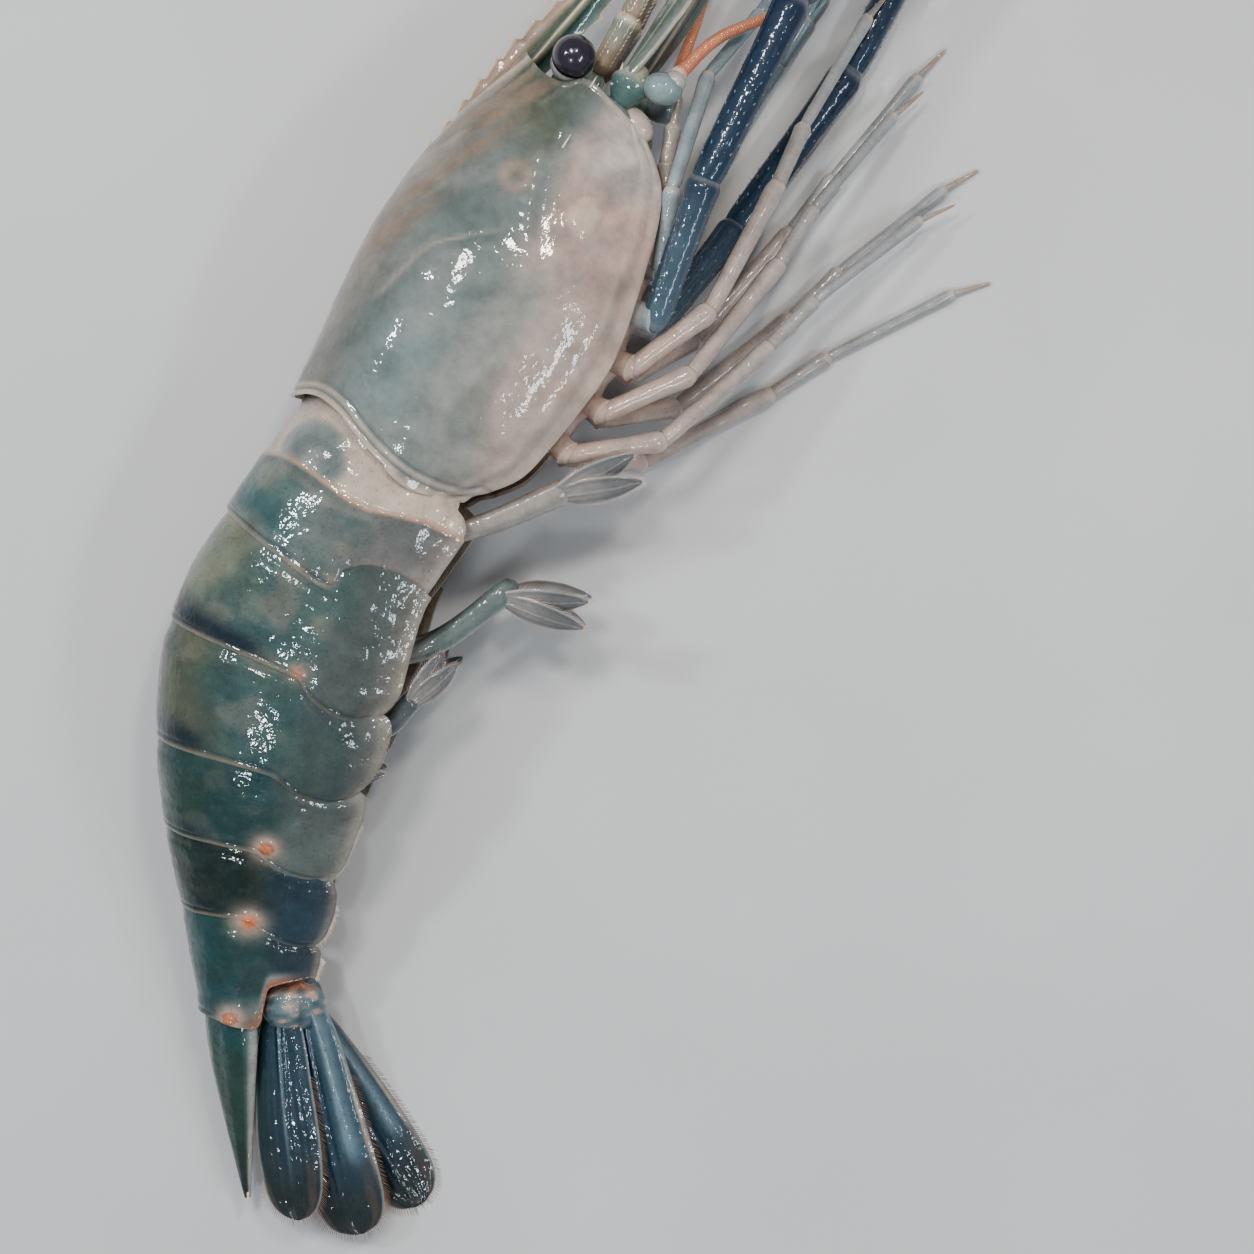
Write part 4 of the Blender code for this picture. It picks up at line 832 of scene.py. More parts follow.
def carapace_tint(share, u, a, d):
    from_rear, from_front, from_margin = carapace_edges(share, u, d)
    u = abs(u)
    sway = 1.6 * noise.noise(Vector((a * 0.10, d * 0.10, 4.4)))
    tone = blend(DUSK, MIST, step(0.15, 0.38, u))
    tone = coats(
        tone,
        (GREY_BLUE, 0.9 * bell(a, -15.0, 11.0) * bell(d + 2 * sway, 2.0, 8.0)),
        (SMOKE, 0.55 * bell(a, 9.0, 6.0) * bell(d, 7.0, 3.5)),
        (PEARL, 0.85 * step(-1.0, -7.0, d + 2.5 * sway)),
        (ROSE, 0.9 * step(-8.0, -17.0, d + 3 * sway)),
        (PINK, 0.8 * step(0.0, 12.0, a) * step(-1.0, -6.0, d + sway)),
        (SHELL_WHITE, step(17.0, 26.0, a) * step(-2.5, -7.0, d)),
        (MOSS, 0.85 * step(14.0, 24.0, a - 0.3 * (d - 3) + 2 * sway) * step(-2.5, 1.5, d)),
        (PINE, 0.60 * bell(a, 29.0, 4.0) * bell(d, 5.0, 3.0)),
    )
    from_ridge = d - smooth(ROSTRUM_A, ROSTRUM_RIDGE, a)
    tone = coats(
        tone,
        (PINE, 0.65 * step(20.0, 29.0, a) * bell(from_ridge, -1.3, 0.9)),
        (blend(UMBER, ROSE, 0.4), 0.7 * step(20.0, 28.0, a) * bell(from_ridge, 2.2, 1.4)),
        (CREAM, 0.75 * step(18.0, 28.0, a) * bell(from_ridge, 0.0, 0.4)),
    )
    # brown streaks beside the crest
    streak = noise.noise(Vector(((a + 0.5 * d) * 0.09, (d - 0.45 * (18.0 - a)) * 0.55, 9.2)))
    on_streak = step(6.0, 10.5, d + 0.32 * (a - 12)) * step(-12.0, 0.0, a)
    tone = blend(tone, UMBER, 0.75 * step(-0.25, 0.3, streak) * on_streak)
    tone = blend(tone, ROSE, 0.35 * step(0.1, 0.4, -streak) * on_streak)
    # what shows through the shell: the stomach's ring, the jaw muscle and the seam above the gills
    ring = math.hypot(a - 15.2, d - 2.1)
    tone = coats(
        tone,
        (blend(TAN, ROSE, 0.5), 0.55 * bell(ring, 1.7, 0.9)),
        (blend(SMOKE, TAN, 0.4), 0.6 * bell(ring, 0.0, 0.8)),
        (blend(CREAM, PINK, 0.5), 0.8 * step(1.15, 0.8, jaw_muscle(a, d))),
        (CREAM, 0.7 * bell(math.hypot(a - 20.3, d + 13.2), 0.0, 0.9)),
    )
    seam = seam_distance(a, d)
    on_seam = step(-12.0, -5.0, a) * step(9.0, 6.0, a)
    tone = blend(tone, blend(CREAM, PINK, 0.5), 0.35 * bell(seam, 0.25, 0.4) * on_seam)
    tone = blend(tone, SLATE, 0.22 * bell(seam, -1.2, 1.0) * on_seam)
    cloud = noise.noise(Vector((a * 0.13 + 0.05 * d, d * 0.16, 1.7)))
    tone = blend(tone, SMOKE, 0.40 * step(0.1, 0.5, cloud))
    tone = blend(tone, PEARL, 0.40 * step(0.1, 0.5, -cloud))
    low = step(2.0, -3.0, d)
    pale = max(
        0.85 * bell(from_rear, 0.15, 0.25),
        0.6 * bell(from_rear, 1.5, 0.25),
        0.5 * bell(from_margin, 0.25, 0.35),
        0.55 * low * bell(from_front, 0.2, 0.3),
        0.35 * bell(from_margin, 2.3, 0.3),
    )
    # painted shadow: a dark line in the groove just inside the rear rim
    tone = blend(tone, DUSK, 0.5 * bell(from_rear, 0.8, 0.35))
    tone = blend(tone, blend(CREAM, ROSE, 0.4), pale)
    return blend(tone, SLATE, 0.40 * bell(from_rear, 2.2, 0.3) * step(0.2, 0.4, u))


def make_carapace():
    rows, tints = [], []
    long_steps, cross_steps = 150, 84
    for i in range(long_steps + 1):
        share = 0.5 - 0.5 * math.cos(math.pi * i / long_steps)
        share = 0.6 * share + 0.4 * i / long_steps
        row, line = [], []
        for j in range(-cross_steps, cross_steps + 1):
            u = j / cross_steps
            a, d, w = carapace_place(share, u)
            grow = 1 + carapace_relief(share, u, a, d) / math.hypot(d, w)
            row.append(body_point(a, d * grow, w * grow * (1 if u > 0 else -1)))
            line.append(carapace_tint(share, u, a, d))
        rows.append(row)
        tints.append(line)
    shell = Shape()
    shell.plate(rows, tints, CARAPACE_WALL)
    rostrum_shape(shell)
    for _, side in SIDES:
        for a, share, reach, radius in FRONT_SPINES:
            d, w = carapace_section(a, share)
            base = body_point(a - 1.6, d, (w - 0.55) * side)
            tip = body_point(a + reach, d - 0.2, (w + 0.75) * side)
            shell.spike(base, tip, radius, CREAM, sides=10)
            keel = []
            for k in range(len(SPINE_KEEL)):
                place = a - 1.0 - k * 1.1
                width = carapace_section(place, share)[1] - 0.15
                keel.append(body_point(place, d - 0.1 * k, width * side))
            shell.tube(keel, SPINE_KEEL, blend(PEARL, MIST, 0.5), sides=10)
    shell.finish("carapace_shell", "carapace_shell", "carapace")


def tooth(a, tips, height):
    """Height and sharpness of a saw edge whose teeth lean forward and end at tips."""
    for tip in tips:
        if tip - TOOTH_LENGTH <= a <= tip:
            t = (a - tip + TOOTH_LENGTH) / TOOTH_LENGTH
            return height * t ** 1.25
        if tip < a < tip + TOOTH_BACK:
            return height * (1 - (a - tip) / TOOTH_BACK)
    return 0.0


def rostrum_shape(shell):
    """The toothed blade with its side ridges, from the back of the crest to the tip."""
    loops, tints = [], []
    count = 330
    for i in range(count + 1):
        a = ROSTRUM_A[0] + (ROSTRUM_A[-1] - ROSTRUM_A[0]) * i / count
        ridge = smooth(ROSTRUM_A, ROSTRUM_RIDGE, a)
        top = smooth(ROSTRUM_A, ROSTRUM_TOP, a)
        low = smooth(ROSTRUM_A, ROSTRUM_LOW, a)
        half = smooth(ROSTRUM_A, ROSTRUM_HALF, a)
        upper_tooth, lower_tooth = tooth(a, BACK_TEETH, BACK_TOOTH), tooth(a, BELLY_TEETH, BELLY_TOOTH)
        crest, keel = top - ridge, ridge - low
        side = [
            (top + upper_tooth, 0.07, blend(UMBER, CREAM, 0.7)),
            (top + upper_tooth * 0.4 - 0.15, 0.2, UMBER),
            (top - 0.4 * crest * 0.6, 0.34, blend(UMBER, ROSE, 0.4)),
            (ridge + crest * 0.45, min(0.5, half * 0.6), MOSS),
            (ridge + crest * 0.22, half * 0.55, PINE),
            (ridge + 0.34, half * 0.86, MOSS),
            (ridge + 0.05, half, CREAM),
            (ridge - 0.3, half * 0.84, blend(MOSS, CREAM, 0.3)),
            (ridge - keel * 0.3, half * 0.5, PINE),
            (low + keel * 0.3, min(0.32, half * 0.4), SEA),
            (low - lower_tooth * 0.3 + 0.1, 0.16, MIST),
            (low - lower_tooth, 0.06, CREAM),
        ]
        right = [body_point(a, d, min(w, half)) for d, w, _ in side]
        left = [body_point(a, d, -min(w, half)) for d, w, _ in side[::-1]]
        loops.append(right + left)
        tints.append([t for _, _, t in side] + [t for _, _, t in side[::-1]])
    shell.rings(loops, tints)


def make_head():
    """The rounded block between carapace and eyes."""
    shape = Shape()
    loops, tints = [], []
    levels, fronts, halves = (column(HEAD_LEVELS[::-1], k) for k in range(3))
    count, sides = 30, 28
    for i in range(count + 1):
        d = levels[0] + (levels[-1] - levels[0]) * i / count
        end = abs(2 * i / count - 1) ** 6
        front = smooth(levels, fronts, d) - 0.8 * end
        half = smooth(levels, halves, d) * (1 - 0.12 * end)
        rear = front_edge(d) - 2.4
        ring = []
        for k in range(sides):
            turn = 2 * math.pi * k / sides
            c, s = [math.copysign(abs(x) ** 0.55, x) for x in (math.cos(turn), math.sin(turn))]
            a = (front + rear) / 2 + (front - rear) / 2 * c
            ripple = 0.12 * noise.noise(Vector((a * 0.5, d * 0.7, s)))
            ring.append(body_point(a, d, (half + ripple) * s))
        loops.append(ring)
        tints.append(blend(MIST, MOSS, step(0.0, 5.0, d)))
    shape.rings(loops, tints)
    shape.finish("head_front", "carapace_shell", "head")


def eye_line(side):
    a, d = STALK_BASE
    start = body_point(a, d, (3.2 + GAP + 0.05) * side)
    _, forward, _, out = body_frame(a)
    return start, (out * side + forward * 0.2).normalized(), out * side


def make_eyes():
    for label, side in SIDES:
        start, line, out = eye_line(side)
        stalk = Shape()
        _, forward, up, _ = body_frame(STALK_BASE[0])
        away = forward * -0.55 - up * 0.1
        keys = [
            start - out * 1.2,
            start,
            start + out * 1.2,
            start + line * STALK_LENGTH * 0.7 + away * 0.7,
            start + line * (STALK_LENGTH + 0.5) + away,
        ]
        points, sizes = resample(keys, STALK_RADII, 24)
        tones = [blend(PALE_BLUE, blend(STEEL, CREAM, 0.4), t / 23) for t in range(24)]
        stalk.tube(points, sizes, tones, sides=28)
        stalk.finish(f"eye_stalk_{label}", "leg_shell", f"eyestalk_{label}")
        cornea = Shape()
        centre = start + line * (STALK_LENGTH + GAP + CORNEA_RADIUS * 0.52)
        across, other = side_axes(line)
        loops, tones = [], []
        for i in range(1, 40):
            turn = math.pi * i / 40
            height = math.cos(turn)
            if height < -0.62:
                continue
            size = math.sin(turn) * CORNEA_RADIUS
            middle = centre + line * height * CORNEA_RADIUS
            turns = [k / 24 * math.pi for k in range(48)]
            loops.append([middle + (across * math.cos(t) + other * math.sin(t)) * size for t in turns])
            tones.append(blend(PUPIL, STEEL, step(-0.35, -0.6, height)))
        cornea.rings(loops, tones)
        cornea.finish(f"cornea_{label}", "cornea", f"eye_{label}")


# Abdomen

def joint_line(n, d):
    """a of joint n at height d."""
    if n == 0:
        return rear_edge(d) - smooth(FIRST_SLANT_D, FIRST_SLANT, d)
    shape = JOINT_LINES[n]
    return JOINTS[n] + smooth(column(shape, 0), column(shape, 1), d)


def abdomen_section(a, share, corner):
    """Height and half width on the abdomen at a, where the plate's depth loses the share corner."""
    width = at_joints(ABDOMEN_WIDTH, a)
    top = at_joints(ABDOMEN_TOP, a)
    depth = at_joints(PLATE_DEPTH, a) * (1 - corner)
    if share <= 0.5:
        turn = share * math.pi
        return top * math.cos(turn), width * math.sin(turn)
    low = (share - 0.5) * 2
    return -depth * low, width * (1 - PLATE_TUCK * low * low)


def ridge_place(share, u):
    """A station of the first segment, moved so that its ridge slants from the back to the edge."""
    ridge = RIDGE_TOP + (RIDGE_EDGE - RIDGE_TOP) * u
    if share < RIDGE_STATION:
        return share / RIDGE_STATION * ridge
    return ridge + (share - RIDGE_STATION) / (1 - RIDGE_STATION) * (1 - ridge)


def somite_place(n, share, u):
    """(a, d, w) on segment n; share runs from its front joint line to its rear one."""
    inside = min(max(share, 0.0), 1.0)
    corner = abs(2 * inside - 1) ** 4 * PLATE_ROUND[n][0 if share < 0.5 else 1]
    place = ridge_place(share, abs(u)) if n == 0 else share
    places, flares = (FIRST_PLACES, FIRST_FLARES) if n == 0 else (SOMITE_PLACES, SOMITE_FLARES)
    flare = smooth(places, flares, share)
    low = step(0.56, 0.64, abs(u))
    if n == 0:  # the second segment's side plate lies over the first's rear edge
        flare -= 0.05 * low * step(0.55, 1.0, share)
    if n == 1:
        flare += (0.02 - flare) * low * step(0.5, 0.1, share)
    a = JOINTS[n] + (JOINTS[n + 1] - JOINTS[n]) * share
    for _ in range(3):
        d, w = abdomen_section(a, abs(u), corner)
        d, w = d * (1 + flare), w * (1 + flare)
        front, rear = joint_line(n, d), joint_line(n + 1, d)
        a = front + (rear - front) * place
    return a, d, w


def somite_point(n, share, u, side, spread=1.0):
    """A point of segment n on one side, moved outward by spread."""
    a, d, w = somite_place(n, share, u)
    return body_point(a, d * spread, w * side * spread)


# The hinge knobs at the joints of the abdomen: (a, d, size, how orange)
KNOBS = (
    (-46.0, -2.5, 0.40, 0.15), (-59.9, -2.9, 0.75, 0.45), (-86.0, -2.7, 0.85, 1.0), (-98.0, -0.7, 0.95, 1.0),
    (-113.2, 2.4, 0.80, 0.9),
)
# Colours of each segment's back, flank and side plate
SOMITE_TONES = (
    (SEA, MIST, FOG), (SAGE, REED, HAZE), (FERN, SEA, SMOKE), (PINE, DEEP_SEA, HAZE), (INK, INK, STORM),
    (LAGOON, DEEP_SEA, SLATE),
)
# The dark band before each segment's rear edge, and how far around the flank it reaches
BAND_STRENGTH = (0.0, 1.0, 1.0, 0.7, 0.35, 0.0)
BAND_REACH = (0.4, 0.52, 0.40, 0.40, 0.5, 0.5)


def knob_near(a, d):
    """Distance in millimetres to the nearest hinge knob, with its size and colour."""
    return min((math.hypot(a - at, d - up), size, glow) for at, up, size, glow in KNOBS)


def dome_place(a, d):
    """Distance to the round swelling at the front of the abdomen, 1 at its edge."""
    return math.hypot((a + 32.0) / 4.6, (d - 7.6) / 5.4)


def somite_relief(n, share, u, a, d):
    knob, size, _ = knob_near(a, d)
    u = abs(u)
    from_margin = (1 - u) * PLATE_FLANK
    from_rear = (1.02 - share) * SOMITE_LENGTHS[n]
    rise = 0.12 * bell(from_margin, 0.3, 0.35) - 0.12 * bell(from_margin, 1.0, 0.4)
    rise -= 0.10 * bell(from_rear, 0.75, 0.25)
    rise -= 0.10 * bell(share * SOMITE_LENGTHS[n], 1.6, 0.4) * (n > 0)
    rise += 0.50 * size * bell(knob, 0.0, 1.1 * size + 0.1) - 0.10 * bell(knob, 2.0, 0.6)
    if n == 0:
        rise += 1.5 * step(1.1, 0.1, dome_place(a, d))
    wave = noise.noise(Vector((a * 0.2, d * 0.26, 11.0 + n)))
    fine = noise.noise(Vector((a * 0.8, d * 0.5, 5.0 + n)))
    return rise + 0.20 * wave + 0.08 * fine


def somite_tint(n, share, u, a, d):
    knob, size, glow = knob_near(a, d)
    side = abs(u)
    from_rear = (1.02 - share) * SOMITE_LENGTHS[n]
    tail = min(n / 4, 1.0)
    sway = noise.noise(Vector((a * 0.13, d * 0.13, 2.2)))
    patch = noise.noise(Vector((a * 0.24, d * 0.20, 6.1)))
    back, flank, plate = SOMITE_TONES[n]
    if n < 3:
        back, flank, plate = back * (1.25 if n < 2 else 1.0), flank * 0.76, plate * 0.70
    tone = blend(back, flank, step(0.22, 0.46, side + 0.12 * sway))
    # painted sheen: a patchy teal sheen along the middle of each flank
    teal_sheen_and_band = (0.40 + 0.05 * tail) * step(0.05, 0.40, sway + 0.18 * bell(side, 0.5, 0.15))
    tone = blend(tone, blend(TEAL, tone, 0.35), teal_sheen_and_band)
    tone = coats(
        tone,
        (blend(SAGE, ROSE, 0.35), (0.45 - 0.4 * tail) * step(0.05, 0.40, patch)),
        (PINE, 0.35 * step(0.08, 0.45, -patch) * (0.4 + 0.6 * tail)),
        (plate, 0.9 * step(0.56, 0.76, side + 0.1 * sway)),
        (blend(plate, SLATE, 0.5), 0.4 * step(0.0, 0.4, patch) * step(0.58, 0.72, side)),
        (blend(ROSE, plate, 0.4), 0.6 * step(0.84, 1.0, side) * (1 - 0.8 * tail)),
    )
    if n == 0:
        ahead = step(0.42, 0.38, share)
        tone = blend(tone, blend(ROSE, CREAM, 0.35), ahead)
        tone = blend(tone, blend(MIST, ROSE, 0.4), 0.7 * ahead * step(0.30, 0.12, side))
        dome = dome_place(a, d)
        # painted shade: a dark ring on the dome, set off centre towards the rear and the belly
        dome_shade_distance = dome_place(a + 0.4, d + 0.9)
        tone = coats(
            tone,
            (blend(CREAM, ROSE, 0.5), 0.85 * bell(dome, 1.0, 0.25) * ahead),
            (blend(GREY_BLUE, PEARL, 0.3), 0.9 * step(1.05, 0.75, dome) * ahead),
            (blend(STORM, SEA, 0.6), 0.5 * bell(dome_shade_distance, 0.55, 0.35) * ahead),
            (blend(ORANGE, CREAM, 0.45), 0.75 * bell(share, 0.402, 0.012)),
            (SMOKE, 0.6 * bell(share, 0.45, 0.03) * step(0.6, 0.4, side)),
        )
        # the teal band on the back before the first segment's rear edge
        teal_sheen_and_band = 0.5 * bell(share, 0.84, 0.12) * step(0.46, 0.34, side) * step(0.02, 0.14, side)
        tone = blend(tone, TEAL, teal_sheen_and_band)
        tone = blend(tone, blend(FOG, ROSE, 0.35), 0.6 * step(0.60, 0.70, side) * bell(share, 0.95, 0.2))
    reach = BAND_REACH[n]
    width = 0.20 - 0.13 * min(side / reach, 1.0)
    band = BAND_STRENGTH[n] * bell(share, 0.91, width) * step(reach, reach - 0.12, side)
    tone = blend(tone, blend(NAVY, STORM, 0.25), band)
    if n > 2:
        tone = blend(tone, NAVY, 0.3 * step(0.60, 0.68, side) * bell(share, 0.15, 0.16))
    # thin rear edge with a dark line of painted shade in the groove before it, and the lower margin
    edge = 0.5 - 0.3 * step(0.5, 0.6, side)
    tone = coats(
        tone,
        (NAVY, 0.5 * bell(from_rear, 0.65, 0.2)),
        (blend(blend(TAN, CREAM, 0.4), plate, 0.3), edge * bell(from_rear, 0.1, 0.22)),
        (blend(CREAM, plate, 0.5), 0.5 * bell((1 - side) * PLATE_FLANK, 0.25, 0.4)),
    )
    if n == 5:
        on_notch = bell(d, -3.8, 3.2)
        tone = blend(tone, blend(PALE_BLUE, CREAM, 0.4), 0.5 * bell(from_rear, 2.3, 1.1) * on_notch)
        tone = blend(tone, blend(ORANGE, TAN, 0.5), 0.9 * bell(from_rear, 0.6, 1.1) * on_notch)
    # pale halo and orange heart of the hinge knobs
    tone = blend(tone, blend(CREAM, ROSE, 0.5), 0.9 * glow * bell(knob, 0.0, 2.3 * size))
    tone = blend(tone, ORANGE, glow * bell(knob, 0.0, 1.2 * size))
    return blend(tone, PLUM, 0.6 * glow * bell(knob, 0.9 * size, 0.18) * step(0.1, 0.5, patch + 0.2))


def make_somites():
    for n in range(6):
        shell = Shape()
        rows, tints = [], []
        cross_steps = 64
        first = -0.2 if n == 0 else -0.14
        last = 1.0 if n == 5 else 1.02
        shares = [first + (0.92 - first) * i / 46 for i in range(46)]
        shares += [0.92 + (last - 0.92) * i / 18 for i in range(19)]
        for share in shares:
            row, line = [], []
            for j in range(-cross_steps, cross_steps + 1):
                u = j / cross_steps
                a, d, w = somite_place(n, share, u)
                grow = 1 + somite_relief(n, share, u, a, d) / max(math.hypot(d, w), 4.0)
                row.append(body_point(a, d * grow, w * grow * (1 if u > 0 else -1)))
                line.append(somite_tint(n, share, u, a, d))
            rows.append(row[::-1])
            tints.append(line[::-1])
        shell.plate(rows, tints, PLATE_WALL)
        if n == 0:  # the small teeth along the ridge of the first segment
            for k in range(30):
                for _, side in SIDES:
                    u = (0.50 + 0.40 * k / 30) * side
                    base = somite_point(0, 0.392, u, side)
                    tip = somite_point(0, 0.34, u, side, 1.03)
                    shell.spike(base, base.lerp(tip, 0.7), 0.13, CREAM, sides=5)
        shell.finish(f"abdomen_plate_{n + 1}", "abdomen_shell", f"abdomen_segment_{n + 1}")


def make_plate_hairs():
    hair = HAIRS["plate"]
    tone = blend(CREAM, ROSE, 0.4)
    count = 70
    for n in range(6):
        for _, side in SIDES:
            for k in range(count):
                share = 0.35 + 0.66 * k / (count - 1)
                u = side * (0.994 if share < 0.99 else 1.0 - 0.3 * ((k * 7) % 10) / 10)
                if (n < 3 and k % 3) or (n == 5 and share > 0.93):
                    continue
                inside = min(share, 1.0)
                base = somite_point(n, inside, u, side)
                _, forward, up, out = body_frame(somite_place(n, inside, u)[0])
                sway = noise.noise(Vector((k * 1.3, n * 4.0, side)))
                down = -up * (1.0 - 0.7 * share) - forward * (0.3 + 0.8 * share)
                aim = (down + out * 0.3 * sway * side).normalized()
                reach = (0.5 + 0.22 * n) * (0.8 + 0.6 * sway)
                mark = (0.05 + 0.15 * n + 0.12 * share, 0.3 if side > 0 else 0.7)
                hair.bristle(base - aim * 0.25, base + aim * reach, 0.07, tone, mark)


def make_hairs():
    make_plate_hairs()
    for kind, slot in HAIR_SLOTS.items():
        HAIRS[kind].finish(f"{kind}_bristles", slot)


BELLY_FRONT = -24.0


def make_belly():
    """The flesh inside the shell, one skin from the thorax to the tail."""
    flesh = Shape()
    loops, tints = [], []
    count = 150
    for i in range(count + 1):
        a = BELLY_FRONT + (JOINTS[6] + 0.6 - BELLY_FRONT) * i / count
        width = at_joints(ABDOMEN_WIDTH, a) * 0.90
        top = at_joints(ABDOMEN_TOP, a) * 0.86
        depth = at_joints(PLATE_DEPTH, a) * 0.40
        nearest = min(abs(a - (JOINTS[k] + JOINTS[k + 1]) / 2) for k in range(6))
        bar = 0.7 * bell(nearest, 0.0, 1.5)
        ring = []
        for k in range(40):
            turn = 2 * math.pi * k / 40
            s, c = math.sin(turn), math.cos(turn)
            d = s * top if s > 0 else s * (depth + bar)
            ring.append(body_point(a, d, c * width))
        loops.append(ring)
        tints.append(blend(FLESH, PINK, 0.4 + 0.4 * bell(nearest, 0.0, 1.5)))
    flesh.rings(loops, tints)
    flesh.finish("belly_flesh", "leg_shell")


# Feelers

def annulate(points, radii, pitch, depth, tones):
    """Fine rings along a feeler: points close together, with the radius rising and falling."""
    length = sum((q - p).length for p, q in zip(points, points[1:]))
    count = max(int(length / pitch * 3), 8)
    run, sizes = resample(points, radii, count)
    tints = []
    for i in range(count):
        ring = i % 3
        sizes[i] *= 1 + depth * (0.5 if ring == 0 else -0.25)
        tone = blend(tones[0], tones[1], i / count)
        tints.append(tone * (1.12 if ring == 0 else 0.92))
    return run, sizes, tints


def make_antennules():
    whip_tones = (blend(SALMON, PALE_BLUE, 0.4), SALMON)
    for label, side in SIDES:
        shape = Shape()
        front = ANTENNULE_FRONT + GAP
        path = [body_point(front + a, d, w * side) for a, d, w in ANTENNULE_PATH]
        points, radii = resample(path, ANTENNULE_RADII, 61)
        for near, far in zip(ANTENNULE_BREAKS, ANTENNULE_BREAKS[1:]):
            low, high = int(near * 60), int(far * 60)
            run, sizes = points[low:high + 1], radii[low:high + 1]
            share = [i / (len(run) - 1) for i in range(len(run))]
            sizes = [
                r * (0.78 + 0.24 * step(0, 0.12, t) + 0.1 * step(0.7, 0.95, t) - 0.12 * step(0.95, 1, t))
                for r, t in zip(sizes, share)
            ]
            tones = []
            for t in share:
                tone = blend(blend(MIST, SAGE, 0.6), blend(TAN, UMBER, 0.5), 0.6 * step(0.9, 0.1, t))
                tones.append(blend(tone, CREAM, 0.7 * bell(t, 0.95, 0.08)))
            shape.tube(run, sizes, tones, sides=20)
            _, forward, up, out = body_frame(front)
            for i in range(2, len(run) - 1, 2):
                for turn in (-0.5, 0.7, 2.2):
                    rim = (out * side * math.cos(turn) - up * math.sin(turn)) * sizes[i]
                    root = run[i] + rim * 0.85
                    tip = root + rim.normalized() * 0.55 + forward * 0.7
                    shape.spike(root, tip, 0.2, blend(TAN, CREAM, 0.5))
        heading = math.radians(CARAPACE_HEADING)
        start = path[-1] - (path[-1] - path[-2]).normalized() * 1.0
        for length, turn, bend in ANTENNULE_FLAGELLA[label]:
            fall = (start.z - FLAGELLUM_RADIUS) if side < 0 else start.z * 0.62
            line = []
            for i in range(13):
                t = i / 12
                sweep = heading + math.radians(turn + bend * t)
                reach = length * t
                drop = -fall * min(1.0, 1.25 * t) ** 1.6
                line.append(start + Vector((math.cos(sweep) * reach, math.sin(sweep) * reach, drop)))
            sizes = [FLAGELLUM_RADIUS + (TIP_RADIUS - FLAGELLUM_RADIUS) * i / 12 for i in range(13)]
            run, widths, tones = annulate(line, sizes, 0.8, 0.16, whip_tones)
            shape.tube(run, widths, tones, sides=8)
        shape.finish(f"antennule_and_whips_{label}", "feeler", f"antennule_{label}")


def make_antennae():
    for label, side in SIDES:
        base = Shape()
        d, w = BASICERITE
        rear = ANTENNA_FRONT - 0.8
        trunk = [body_point(a, d, w * side) for a in (rear, rear + 1.6, rear + 2.9, 36.4, 38.0)]
        points, sizes = resample(trunk, TRUNK_RADII, 28)
        tones = [blend(SEA, blend(CREAM, SEA, 0.5), step(0.45, 0.95, i / 27)) for i in range(28)]
        base.tube(points, sizes, tones, sides=28)
        _, forward, up, out = body_frame(36.0)
        for k in range(7):
            turn = 0.5 + 0.42 * k
            middle = body_point(34.2 + 0.62 * k, d, w * side)
            rim = up * math.cos(turn) + out * side * math.sin(turn)
            base.ball(middle + rim * 2.55, 0.24, blend(CREAM, MIST, 0.35), segments=12)
        lobe = body_point(31.2, -7.9, 5.1 * side)
        base.ball(lobe, 2.1, blend(ROSE, PEARL, 0.35), axis=up + forward * 0.3, squash=1.5, segments=32)
        centre = body_point(PEDUNCLE_BALL[0], PEDUNCLE_BALL[1], PEDUNCLE_BALL[2] * side)
        tone = blend(MIST, PALE_BLUE, 0.4)
        base.ball(centre, BALL_RADIUS * 0.86, tone, axis=up - forward * 0.3, squash=1.25, segments=32)
        base.ball(centre + forward * 1.5 - up * 0.9, 1.75, blend(PALE_BLUE, ROSE, 0.5), segments=28)
        line = RIGHT_ANTENNA if side > 0 else LEFT_ANTENNA
        aim = (Vector(line[0]) - centre).normalized()
        neck = [centre + aim * t for t in NECK_PLACES]
        base.tube(neck, NECK_RADII, [PALE_BLUE, ROSE, CREAM, PINK, SALMON], sides=24)
        spine = body_point(37.6, d + 2.4, (w + 1.6) * side)
        base.spike(body_point(35.0, d + 1.5, (w + 1.0) * side), spine, 0.5, CREAM, sides=10)
        base.finish(f"antenna_peduncle_{label}", "leg_shell", f"antenna_base_{label}")
        make_flagellum(label, centre + aim * (3.6 + GAP), line)


def make_flagellum(label, start, line):
    path = [start, *[Vector(p) for p in line]]
    count = len(path)
    thinning = TIP_RADIUS - ANTENNA_RADIUS
    radii = [ANTENNA_RADIUS + thinning * (i / (count - 1)) ** 0.8 for i in range(count)]
    points, sizes = resample(path, radii, 85)
    points = [lifted(p, r * RESTING) for p, r in zip(points, sizes)]
    run, widths, tones = annulate(points, sizes, 0.9, 0.14, (SALMON, blend(SALMON, TAN, 0.6)))
    whip = Shape()
    whip.tube(run, widths, tones, sides=10)
    whip.finish(f"antenna_whip_{label}", "feeler", f"antenna_{label}_inner", f"antenna_{label}_outer")


# Thorax and legs

def thorax_levels(a):
    """Half width at the top, heights of roof, shoulder and keel, of the thorax floor at a."""
    tuck = math.radians(MARGIN_TUCK)
    depth = margin_depth(a)
    half = smooth(CARAPACE_A, CARAPACE_WIDTH, a) * math.cos(tuck) - 1.0 - 0.45
    roof_turn = tuck * (1 - 2 / 6)
    roof = -depth * math.sin(roof_turn) / math.sin(tuck)
    keel = depth + 1.2 - 2.4 * smooth((-21.0, -11.0), (1.0, 0.0), a)
    return half, roof - GAP - 0.25, -(depth - 1.5), -max(keel, depth - 1.2)


def thorax_facet(a, share):
    """A point on the right lower face of the thorax floor, from keel (0) to shoulder (1)."""
    half, _, shoulder, keel = thorax_levels(a)
    return body_point(a, keel + (shoulder - keel) * share, THORAX_KEEL + (half - THORAX_KEEL) * share)


